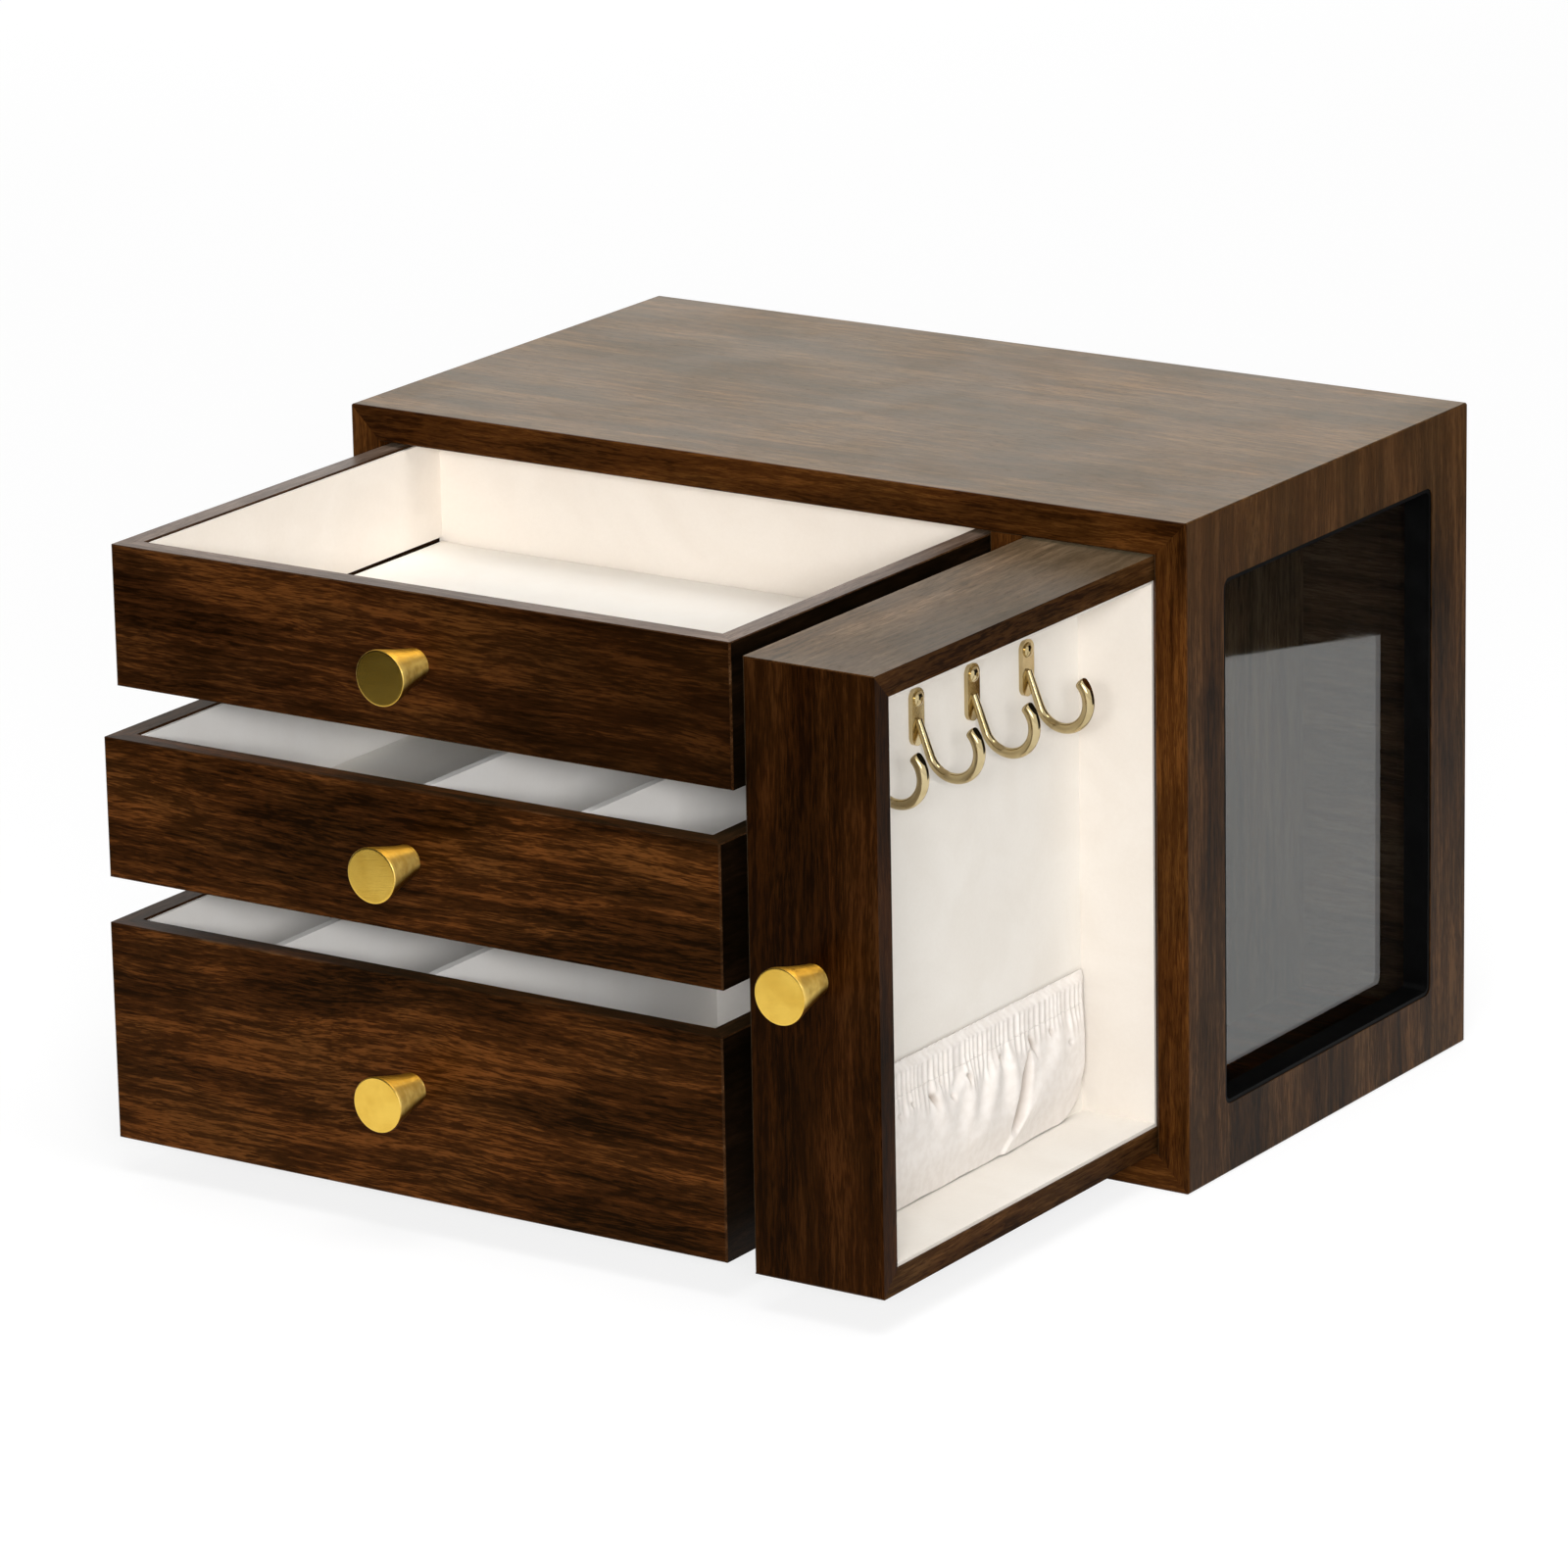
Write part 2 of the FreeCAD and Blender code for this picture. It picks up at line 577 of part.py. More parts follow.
class Drawer:
    """One drawer: where its floor runs, how high its walls are, how much of it is still inside."""

    def __init__(self, name, runs_on, height, tail, partitions, slit=False):
        self.name = name
        self.height = height
        self.partitions = partitions
        self.slit = slit
        self.x = "(-dims.case_width / 2 + dims.panel_thickness + dims.drawer_side_gap)"
        self.y = "(-dims.case_depth / 2 - %s + %s)" % (DRAWER_LENGTH, tail)
        self.z = "(%s + dims.running_gap)" % runs_on
        self.corner = (self.x, self.y, self.z)

    def board(self, label, role, at, loop, length):
        body = new_body(self.name + "_" + label, self.corner)
        pad(body, role, at, [loop], length)
        return keep(body)

    def build(self):
        self.build_walls()
        self.build_base()
        self.build_lining()
        self.build_partitions()
        build_knob(self.name, "(%s + %s / 2)" % (self.x, DRAWER_WIDTH), self.y,
                   "(%s + %s / 2)" % (self.z, self.height), "dims.drawer_wall")

    def build_walls(self):
        """Front, sides and back, mitred into each other, eased at the top, grooved for the base."""
        top = value(self.height)
        inner = "(dims.drawer_wall - dims.base_groove)"
        sides = (("front", "bottom"), ("right_side", "right"), ("back", "top"), ("left_side", "left"))
        for label, side in sides:
            profile = mitred_profile(side, DRAWER_WIDTH, DRAWER_LENGTH, "dims.drawer_wall")
            wall = self.board(label, "XY_Plane", "0", outline(*profile), self.height)
            ease(wall, lambda edge: runs_straight(edge) and edge.BoundBox.ZLength < 1e-6
                 and (lies_at(edge, "z", top) or lies_at(edge, "y", 0)), "dims.board_arris")
            pocket(wall, "XY_Plane", "dims.base_lift",
                   [rectangle(inner, inner, "(%s - %s)" % (DRAWER_WIDTH, inner),
                              "(%s - %s)" % (DRAWER_LENGTH, inner))],
                   "dims.base_thickness")
            if label == "front":
                knob_hole(wall, "(%s / 2)" % DRAWER_WIDTH, "(%s / 2)" % self.height,
                          "dims.drawer_wall")

    def build_base(self):
        """Thin base board, held in the grooves of the four walls."""
        edge = "(dims.drawer_wall - dims.base_groove + dims.board_fit)"
        self.board("base", "XY_Plane", "dims.base_lift",
                   rectangle(edge, edge, "(%s - %s)" % (DRAWER_WIDTH, edge),
                             "(%s - %s)" % (DRAWER_LENGTH, edge)),
                   "dims.base_thickness")

    def lining_rectangle(self, inset):
        """Rectangle inset from the inner faces of the walls, seen from above."""
        side = "(dims.drawer_wall + %s)" % inset
        return rectangle(side, side, "(%s - %s)" % (DRAWER_WIDTH, side),
                         "(%s - %s)" % (DRAWER_LENGTH, side))

    def build_lining(self):
        """Velvet-covered card round the walls, and the padded floor inside it."""
        lining = new_body(self.name + "_lining", self.corner)
        floor = "(dims.base_lift + dims.base_thickness)"
        pad(lining, "XY_Plane", floor,
            [self.lining_rectangle("0"), self.lining_rectangle("dims.lining_thickness")],
            "(%s - %s - dims.lining_drop)" % (self.height, floor))
        if self.slit:
            self.open_slit(lining, floor)
        keep(lining)
        self.board("floor_pad", "XY_Plane", floor,
                   self.lining_rectangle("(dims.lining_thickness + dims.pad_gap)"),
                   "dims.pad_thickness")

    def open_slit(self, lining, floor):
        """The left card's lower edge, which rises off the floor pad towards the rear."""
        front = "(dims.drawer_wall + dims.lining_thickness)"
        rear = "(%s - dims.drawer_wall - dims.lining_thickness)" % DRAWER_LENGTH
        level = "(%s + dims.pad_thickness)" % floor
        pocket(lining, "YZ_Plane", "dims.drawer_wall",
               [outline((front, floor), (rear, floor), (rear, "(%s + dims.lining_slit)" % level),
                        (front, level))],
               "dims.lining_thickness")

    def build_partitions(self):
        """Velvet-covered cards that stand on the pad, from the front lining to the back lining."""
        if not self.partitions:
            return
        floor = "(dims.base_lift + dims.base_thickness + dims.pad_thickness)"
        front = "(dims.drawer_wall + dims.lining_thickness)"
        back = "(%s - dims.drawer_wall - dims.lining_thickness)" % DRAWER_LENGTH
        loops = []
        for offset in self.partitions:
            left = "(%s / 2 + dims.partition_shift + %s - dims.partition_thickness / 2)" % (
                DRAWER_WIDTH, offset)
            loops.append(rectangle(left, front, "(%s + dims.partition_thickness)" % left, back))
        cards = new_body(self.name + "_partitions", self.corner)
        pad(cards, "XY_Plane", floor, loops, "(%s - %s - dims.lining_drop)" % (self.height, floor))
        keep(cards)


def build_drawers():
    Drawer("top_drawer", UPPER_SHELF_TOP, SHALLOW_DRAWER_HEIGHT, "dims.top_drawer_tail", (),
           slit=True).build()
    Drawer("middle_drawer", LOWER_SHELF_TOP, SHALLOW_DRAWER_HEIGHT, "dims.middle_drawer_tail",
           ("0", "dims.partition_pitch")).build()
    Drawer("bottom_drawer", "dims.panel_thickness", DEEP_DRAWER_HEIGHT, "dims.bottom_drawer_tail",
           ("(-dims.partition_pitch)", "0")).build()


# Necklace tray, a shallow lined box open to the right

class NecklaceTray:
    """Tray in its own frame: x from its left face, y from its front face, z from its underside."""

    def __init__(self):
        self.corner = (
            "(dims.case_width / 2 - dims.panel_thickness - dims.tray_bay_width + dims.tray_left_gap)",
            "(-dims.case_depth / 2 - %s + dims.tray_tail)" % TRAY_LENGTH,
            "(dims.panel_thickness + dims.running_gap)")
        self.inner_back = "(%s - dims.tray_wall)" % TRAY_LENGTH
        self.inner_top = "(%s - dims.tray_wall)" % TRAY_HEIGHT

    def build(self):
        self.build_walls()
        self.build_boards()
        self.build_linings()
        self.build_hooks()
        self.build_hook_screws()
        self.build_pocket_band()
        self.build_pocket_cloth()
        build_knob("necklace_tray", "(%s + %s / 2)" % (self.corner[0], TRAY_WIDTH), self.corner[1],
                   "(%s + %s / 2)" % (self.corner[2], TRAY_HEIGHT), "dims.tray_wall")

    def build_walls(self):
        """Front, top, bottom and rear boards, mitred into each other."""
        sides = (("front", "left"), ("bottom", "bottom"), ("rear", "right"), ("top", "top"))
        for label, side in sides:
            wall = new_body("necklace_tray_" + label, self.corner)
            profile = mitred_profile(side, TRAY_LENGTH, TRAY_HEIGHT, "dims.tray_wall")
            pad(wall, "YZ_Plane", "0", [outline(*profile)], TRAY_WIDTH)
            if label == "front":
                ease(wall, lambda edge: lies_at(edge, "y", 0) and edge.BoundBox.XLength < 1e-6)
                knob_hole(wall, "(%s / 2)" % TRAY_WIDTH, "(%s / 2)" % TRAY_HEIGHT, "dims.tray_wall")
            keep(wall)

    def inner_rectangle(self, inset):
        """Rectangle inset from the inner faces of the four walls, seen from the side."""
        low = "(dims.tray_wall + %s)" % inset
        return rectangle(low, low, "(%s - %s)" % (self.inner_back, inset),
                         "(%s - %s)" % (self.inner_top, inset))

    def build_boards(self):
        """Outer skin on the drawers' side, and the board that carries the hooks."""
        skin = new_body("necklace_tray_outer_side", self.corner)
        pad(skin, "YZ_Plane", "0", [self.inner_rectangle("0")], "dims.tray_outer_skin")
        keep(skin)
        board = new_body("necklace_tray_hook_board", self.corner)
        board_at = "(%s - dims.lining_thickness - dims.hook_board_thickness)" % LINING_FACE
        pad(board, "YZ_Plane", board_at, [self.inner_rectangle("0")], "dims.hook_board_thickness")
        self.drill(board, board_at, "dims.hook_board_thickness")
        keep(board)

    def drill(self, board, at, thickness):
        """Row of screw holes through a board, one for each hook."""
        first = pocket(board, "YZ_Plane", at,
                       [circle(FIRST_HOOK, "(%s + dims.hook_screw_rise)" % HOOK_FOOT,
                               "(dims.hook_screw_radius + dims.screw_fit)")], thickness)
        row = board.newObject("PartDesign::LinearPattern", "hole_row")
        row.Originals = [first]
        axis = next(item for item in board.Origin.OriginFeatures if item.Role == "Y_Axis")
        row.Direction = (axis, [""])
        row.setExpression("Length", "(%s * (dims.hook_count - 1))" % HOOK_PITCH)
        row.setExpression("Occurrences", "dims.hook_count")
        board.Tip = row
        doc.recompute()

    def build_linings(self):
        """Velvet-covered cards: one on the hook board, one round the four walls."""
        card = new_body("necklace_tray_back_lining", self.corner)
        card_at = "(%s - dims.lining_thickness)" % LINING_FACE
        pad(card, "YZ_Plane", card_at, [self.inner_rectangle("0")], "dims.lining_thickness")
        self.drill(card, card_at, "dims.lining_thickness")
        keep(card)
        ring = new_body("necklace_tray_wall_lining", self.corner)
        pad(ring, "YZ_Plane", LINING_FACE,
            [self.inner_rectangle("0"), self.inner_rectangle("dims.lining_thickness")],
            "(%s - dims.lining_drop)" % TRAY_RECESS)
        keep(ring)

    def hook_spot(self, number, out, up):
        """Place on the lining's face, out and up from the lower end of that hook's plate."""
        return ("(%s + %s + %s)" % (self.corner[0], LINING_FACE, out),
                "(%s + %s + %d * %s)" % (self.corner[1], FIRST_HOOK, number, HOOK_PITCH),
                "(%s + %s + %s)" % (self.corner[2], HOOK_FOOT, up))

    def build_hooks(self):
        """Hooks in a row: a round-ended plate and a tapered, bent rod."""
        for number in range(int(value("dims.hook_count"))):
            hook = new_body("necklace_hook_%d" % (number + 1), self.hook_spot(number, "0", "0"))
            self.hook_rod(hook)
            self.hook_plate(hook)
            keep(hook)

    def bend_spot(self, radius, angle, along=0):
        """Point at that radius and angle round the hook's bend, then along the tangent there."""
        return ("(%s + (%s) * cos(%s) - (%s) * sin(%s))" % (HOOK_BEND_OUT, radius, angle, along, angle),
                "(dims.hook_bend_rise + (%s) * sin(%s) + (%s) * cos(%s))" % (radius, angle, along, angle))

    def hook_section(self, hook, spot, turn, radius):
        """Round section of the rod at the spot, its plane turned about the hook's width."""
        section = sketch_on(hook, "XY_Plane", "0", [circle("0", "0", radius)])
        section.AttachmentOffset = FreeCAD.Placement(
            FreeCAD.Vector(), FreeCAD.Rotation(FreeCAD.Vector(0, 1, 0), value(turn)))
        section.setExpression("AttachmentOffset.Base.x", spot[0])
        section.setExpression("AttachmentOffset.Base.z", spot[1])
        section.setExpression("AttachmentOffset.Rotation.Angle", turn)
        return section

    def hook_rod(self, hook):
        """Tapered rod: down from the plate, round the bend and up to a tip with a flat facet."""
        bend = "dims.hook_bend_radius"
        leg_angle = "(180 + dims.hook_leg_lean)"
        root = self.bend_spot(bend, leg_angle, "-dims.hook_leg_length")
        tip = self.bend_spot(bend, "dims.hook_tip_angle")
        path = sketch_on(hook, "XZ_Plane", "0", [outline(
            root,
            self.bend_spot(bend, leg_angle) + ("-" + bend,),
            (HOOK_BEND_OUT, "(dims.hook_bend_rise - dims.hook_bend_radius)", "-" + bend),
            tip, closed=False)])
        thin = self.hook_section(hook, root, "(-dims.hook_leg_lean)", "dims.hook_leg_radius")
        thick = self.hook_section(hook, tip, "(-dims.hook_tip_angle)", "dims.hook_tip_radius")
        doc.recompute()
        rod = hook.newObject("PartDesign::AdditivePipe", "rod")
        rod.Profile = thin
        rod.Spine = (path, ["Edge1", "Edge2", "Edge3"])
        rod.Transformation = "Multisection"
        rod.Sections = [thick]
        doc.recompute()
        dress(hook, "Fillet", "Radius", "(dims.hook_tip_radius - dims.hook_end_flat)",
              lambda edge: self.ends_rod(edge, tip))
        face = "(dims.hook_bend_radius + dims.hook_facet_rise)"
        clear = "(dims.hook_bend_radius + 2 * dims.hook_tip_radius)"
        corners = ((face, "-" + clear), (face, clear), (clear, clear), (clear, "-" + clear))
        pocket(hook, "XZ_Plane", "(-dims.hook_plate_width)",
               [outline(*[self.bend_spot(radius, "dims.hook_facet_angle", along)
                          for radius, along in corners])],
               "(2 * dims.hook_plate_width)")

    def ends_rod(self, edge, spot):
        """Whether the edge is the rod's rim round that spot."""
        centre = FreeCAD.Vector(value(spot[0]), 0, value(spot[1]))
        reach = value("dims.hook_tip_radius")
        return all(abs((vertex.Point - centre).Length - reach) < 1e-3 for vertex in edge.Vertexes) \
            and abs((edge.valueAt((edge.FirstParameter + edge.LastParameter) / 2) - centre).Length
                    - reach) < 1e-3

    def hook_plate(self, hook):
        """Plate with round ends and a hole for its screw."""
        half = "(dims.hook_plate_width / 2)"
        high = "(dims.hook_plate_length - %s)" % half
        bulge = "-(%s + dims.hook_plate_end_ease)" % half
        pad(hook, "YZ_Plane", "0", [
            outline(("-" + half, high), ("-" + half, half, bulge), (half, half), (half, high, bulge))],
            "dims.hook_plate_thickness")
        pocket(hook, "YZ_Plane", "0",
               [circle("0", "dims.hook_screw_rise", "(dims.hook_screw_radius + dims.screw_fit)")],
               "dims.hook_plate_thickness")

    def build_hook_screws(self):
        """Round-headed screws that hold the hooks, through the lining into the hook board."""
        screws = []
        for number in range(int(value("dims.hook_count"))):
            place = self.hook_spot(number, "dims.hook_plate_thickness", "dims.hook_screw_rise")
            screw = new_body("hook_screw_%d" % (number + 1), place)
            revolve(screw, "XY_Plane", [outline(
                ("0", "0"),
                ("-dims.hook_screw_length", "0"),
                ("-dims.hook_screw_length", "dims.hook_screw_radius"),
                ("0", "dims.hook_screw_radius"),
                ("0", "dims.hook_screw_head_radius"),
                ("dims.hook_screw_head_rim", "dims.hook_screw_head_radius",
                 "dims.hook_screw_dome_radius"),
                ("dims.hook_screw_head_height", "dims.hook_screw_head_flat"),
                ("dims.hook_screw_head_height", "0"))], "H_Axis")
            screws.append(screw)
        group("necklace_hook_screws", screws)

    def scalloped_face(self, rise, count, deep, swell, drift, rear=0.0):
        """Closed wire at one height: a straight back and a front of shallow arcs, one for each fold.

        The folds' widths drift from even ones, and rear is how far the wire stops short of the
        tray's rear wall.
        """
        low = value("dims.tray_wall + dims.lining_thickness + dims.pocket_gap")
        level = low + rise
        end = value("%s - dims.lining_thickness - dims.pocket_gap" % self.inner_back) - rear
        back = value("%s + dims.pocket_gap" % LINING_FACE)
        point = FreeCAD.Vector
        spots = []
        for k in range(count + 1):
            shift = drift * math.sin(2.3 * k) if 0 < k < count else 0
            spots.append(low + (end - low) * (k + shift) / count)
        edges = []
        for k, (near, far) in enumerate(zip(spots, spots[1:])):
            crown = back + deep + swell * (1 + 0.35 * math.sin(1.7 * k))
            edges.append(Part.Arc(point(back + deep, near, level),
                                  point(crown, (near + far) / 2, level),
                                  point(back + deep, far, level)).toShape())
        corners = [point(back + deep, end, level), point(back, end, level),
                   point(back, low, level), point(back + deep, low, level)]
        edges += [Part.makeLine(a, b) for a, b in zip(corners, corners[1:])]
        return Part.Wire(edges)

    def soft_piece(self, label, wires):
        """Solid through the wires, placed with the tray."""
        piece = doc.addObject("Part::Feature", label)
        piece.Label = label
        piece.Shape = Part.makeLoft(wires, True, True)
        piece.Placement = FreeCAD.Placement(
            FreeCAD.Vector(*[value(expression) for expression in self.corner]), FreeCAD.Rotation())
        return keep(piece)

    def build_pocket_band(self):
        """Elastic band that gathers the pocket's mouth into fine ruffles."""
        count = int(value("dims.ruffle_count"))
        swell, drift = value("dims.ruffle_swell"), value("dims.ruffle_drift")
        low, high = value("dims.pocket_height - dims.band_height"), value("dims.pocket_height")
        wires = [self.scalloped_face(rise, count, depth, swell, drift)
                 for rise, depth in ((low, value("dims.band_root")), (high, value("dims.band_lip")))]
        self.soft_piece("necklace_pocket_band", wires)

    def build_pocket_cloth(self):
        """Gathered cloth below the band: it fans out into a belly and comes in again at its seam.

        Its lower rear corner is cut round.
        """
        high = value("dims.pocket_height - dims.band_height")
        count = int(value("dims.fold_count"))
        swell, drift = value("dims.fold_swell"), value("dims.fold_drift")
        corner = value("dims.pocket_corner")
        levels = ((0.0, "dims.pocket_seam", 0.3), (0.18, "dims.pocket_belly", 0.7),
                  (0.45, "dims.pocket_belly", 1.0), (0.78, "dims.pocket_shoulder", 1.1),
                  (1.0, "dims.pocket_neck", 0.7))
        wires = []
        for share, depth, fullness in levels:
            rise = high * share
            below = max(corner - rise, 0.0)
            rear = corner - math.sqrt(corner * corner - below * below)
            wires.append(self.scalloped_face(rise, count, value(depth), swell * fullness, drift, rear))
        self.soft_piece("necklace_pocket_cloth", wires)


def check_document():
    """Stop if any feature failed, or any node has no sound shape."""
    doc.recompute()
    failed = [item.Label for item in doc.Objects
              if "Invalid" in item.State or "Error" in item.State]
    if failed:
        raise RuntimeError("failed features: " + ", ".join(failed))
    for node in nodes:
        if node.Shape.isNull() or not node.Shape.isValid() or not node.Shape.Solids:
            raise RuntimeError("no sound shape: " + node.Label)


def write_parts():
    os.makedirs("parts", exist_ok=True)
    for node in nodes:
        node.Shape.exportStep("parts/%s.step" % node.Label)
        print("%-32s %d solids %10.1f mm3" % (node.Label, len(node.Shape.Solids), node.Shape.Volume))
    print("%d nodes" % len(nodes))


fill_sheet()
build_top_and_bottom()
build_left_side()
build_right_side()
build_back()
build_inner_boards()
build_edging()
build_window()
build_drawers()
NecklaceTray().build()
check_document()
write_parts()
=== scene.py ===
import logging
import math
from dataclasses import dataclass, field, replace
from enum import Enum
from typing import Callable, Optional, Sequence

import bmesh
import bpy
from mathutils import Matrix, Vector


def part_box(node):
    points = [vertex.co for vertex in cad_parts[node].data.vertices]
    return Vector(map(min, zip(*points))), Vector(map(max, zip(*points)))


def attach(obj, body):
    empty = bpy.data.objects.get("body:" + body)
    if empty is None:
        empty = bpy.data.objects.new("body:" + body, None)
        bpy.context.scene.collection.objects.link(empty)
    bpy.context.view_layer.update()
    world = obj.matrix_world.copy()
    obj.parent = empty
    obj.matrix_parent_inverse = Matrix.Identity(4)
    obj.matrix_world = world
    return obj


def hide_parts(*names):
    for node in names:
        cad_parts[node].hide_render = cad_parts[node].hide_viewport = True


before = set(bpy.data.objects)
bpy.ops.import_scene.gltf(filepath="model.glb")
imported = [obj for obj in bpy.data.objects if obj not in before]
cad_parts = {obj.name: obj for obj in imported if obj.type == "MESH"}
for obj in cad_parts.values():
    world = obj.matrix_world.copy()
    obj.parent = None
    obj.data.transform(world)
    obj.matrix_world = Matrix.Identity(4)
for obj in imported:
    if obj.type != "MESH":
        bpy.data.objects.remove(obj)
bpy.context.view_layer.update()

# A veneered jewellery box with three lined drawers and a necklace tray, in metres.
# The boards, hooks and pane are the CAD's own; the padded floors, the gathered pocket and the
# turned knobs are modelled here.

MM = 0.001

logging.basicConfig(level=logging.INFO, format="%(message)s")
log = logging.getLogger("jewellery_box")

Colour = tuple[float, float, float]
Material = bpy.types.Material
Mesh = bmesh.types.BMesh
Piece = bpy.types.Object
Socket = bpy.types.NodeSocket
Source = object
Sockets = dict[str, Source]

ORIGIN = (0.0, 0.0, 0.0)
WHITE = (1.0, 1.0, 1.0)


def srgb(red: int, green: int, blue: int) -> Colour:
    """Scene-linear colour of an 8-bit screen colour."""
    return tuple(share / 12.92 if share <= 0.04045 else ((share + 0.055) / 1.055) ** 2.4
                 for share in (red / 255.0, green / 255.0, blue / 255.0))


# Shader trees

class Tree:
    """A node tree while it is being filled."""

    def __init__(self, tree: bpy.types.NodeTree) -> None:
        """Keep the tree and start its nodes at the left."""
        self.tree = tree
        self.column = 0

    def add(self, kind: str, inputs: Optional[dict] = None, **settings: object) -> bpy.types.Node:
        """Add a node.

        Args:
            kind: the node's type name.
            inputs: socket name or index to a number, a colour or another node's output.
            **settings: properties of the node.

        Returns:
            The new node.
        """
        node = self.tree.nodes.new(kind)
        node.location = (self.column * 190, -(self.column % 4) * 60)
        self.column += 1
        for name, setting in settings.items():
            setattr(node, name, setting)
        for socket, source in (inputs or {}).items():
            self.feed(node.inputs[socket], source)
        return node

    def feed(self, socket: Socket, source: Source) -> None:
        """Link the source to the socket, or set the socket to it where it is a constant.

        Args:
            socket: the input.
            source: another node's output, or a number, a colour or a vector.
        """
        if isinstance(source, Socket):
            self.tree.links.new(source, socket)
        elif isinstance(source, tuple) and len(source) == 3 and socket.type == "RGBA":
            socket.default_value = (*source, 1.0)
        else:
            socket.default_value = source

    def math(self, operation: str, first: Source, second: Source = 0.0,
             clamp: bool = False) -> Socket:
        """Output of a Math node on two values."""
        return self.add("ShaderNodeMath", {0: first, 1: second}, operation=operation,
                        use_clamp=clamp).outputs[0]

    def plus(self, first: Source, second: Source) -> Socket:
        """The sum of two values."""
        return self.math("ADD", first, second)

    def minus(self, first: Source, second: Source) -> Socket:
        """The first value less the second."""
        return self.math("SUBTRACT", first, second)

    def times(self, first: Source, second: Source) -> Socket:
        """The product of two values."""
        return self.math("MULTIPLY", first, second)

    def mixture(self, first: Source, share: float, second: Source) -> Socket:
        """A share of the first value, and the rest of the second."""
        return self.plus(self.times(first, share), self.times(second, 1.0 - share))

    def vector(self, operation: str, first: Source, second: Source,
               third: Source = ORIGIN) -> Socket:
        """Output of a Vector Math node."""
        return self.add("ShaderNodeVectorMath", {0: first, 1: second, 2: third},
                        operation=operation).outputs[0]

    def part(self, vector: Source, axis: int) -> Socket:
        """One part of a vector."""
        return self.add("ShaderNodeSeparateXYZ", {0: vector}).outputs[axis]

    def joined(self, *parts: Source) -> Socket:
        """The vector of three parts."""
        return self.add("ShaderNodeCombineXYZ", dict(enumerate(parts))).outputs[0]

    def noise(self, vector: Source, scale: Source = 1.0, detail: float = 2.0,
              roughness: float = 0.5, distortion: float = 0.0) -> Socket:
        """Value of a Noise texture, about 0.5 on average."""
        return self.add("ShaderNodeTexNoise", {
            "Vector": vector, "Scale": scale, "Detail": detail, "Roughness": roughness,
            "Distortion": distortion}).outputs["Fac"]

    def drawn_out(self, vector: Source, along: float, across: float,
                  offset: Sequence[float] = ORIGIN, **settings: Source) -> Socket:
        """Value of a Noise texture with its own scale along X and across it."""
        stretched = self.vector("MULTIPLY_ADD", vector, (along, across, across), offset)
        return self.noise(stretched, **settings)

    def window(self, value: Source, low: float, high: float) -> Socket:
        """The value spread from low..high to 0..1, smoothly and held at both ends."""
        return self.add("ShaderNodeMapRange", {0: value, 1: low, 2: high, 3: 0.0, 4: 1.0},
                        interpolation_type="SMOOTHSTEP").outputs[0]

    def blend(self, share: Source, first: Source, second: Source, mode: str = "MIX") -> Socket:
        """Colour between two colours."""
        return self.add("ShaderNodeMix", {"Factor": share, "A": first, "B": second},
                        data_type="RGBA", blend_type=mode).outputs["Result"]

    def bump(self, height: Source, strength: float, distance: float) -> Socket:
        """Normal of a Bump node."""
        return self.add("ShaderNodeBump", {
            "Height": height, "Strength": strength, "Distance": distance}).outputs[0]

    def placed(self, turn: Sequence[float] = ORIGIN, offset: Sequence[float] = ORIGIN) -> Socket:
        """Object coordinates, moved and turned."""
        place = self.add("ShaderNodeTexCoord").outputs["Object"]
        return self.add("ShaderNodeMapping", {
            "Vector": place, "Location": offset, "Rotation": turn}).outputs[0]

    def seen(self) -> Socket:
        """1 where a camera, a gloss or a glass looks, 0 for plain light."""
        rays = self.add("ShaderNodeLightPath").outputs
        seen = self.math("MAXIMUM", rays["Is Camera Ray"], rays["Is Glossy Ray"])
        return self.math("MAXIMUM", seen, rays["Is Transmission Ray"])

    def use(self, group: bpy.types.NodeTree, **inputs: Source) -> Sockets:
        """Outputs of a shared node group that is placed in the tree."""
        return self.add("ShaderNodeGroup", inputs, node_tree=group).outputs


def node_group(name: str, fill: Callable[..., Sockets], **numbers: float) -> bpy.types.NodeTree:
    """Build a shader node group that takes a vector and perhaps some numbers.

    Args:
        name: the group's name.
        fill: makes the nodes from the tree and the inputs, and returns the outputs by name.
        **numbers: name and default of each number that the group takes.

    Returns:
        The node group.
    """
    group = bpy.data.node_groups.new(name, "ShaderNodeTree")
    group.interface.new_socket(name="Vector", in_out="INPUT", socket_type="NodeSocketVector")
    for label, default in numbers.items():
        socket = group.interface.new_socket(name=label, in_out="INPUT",
                                            socket_type="NodeSocketFloat")
        socket.default_value = default
    tree = Tree(group)
    start = tree.add("NodeGroupInput")
    results = fill(tree, *(start.outputs[k] for k in range(1 + len(numbers))))
    for label in results:
        group.interface.new_socket(name=label, in_out="OUTPUT", socket_type="NodeSocketFloat")
    tree.add("NodeGroupOutput", results)
    return group


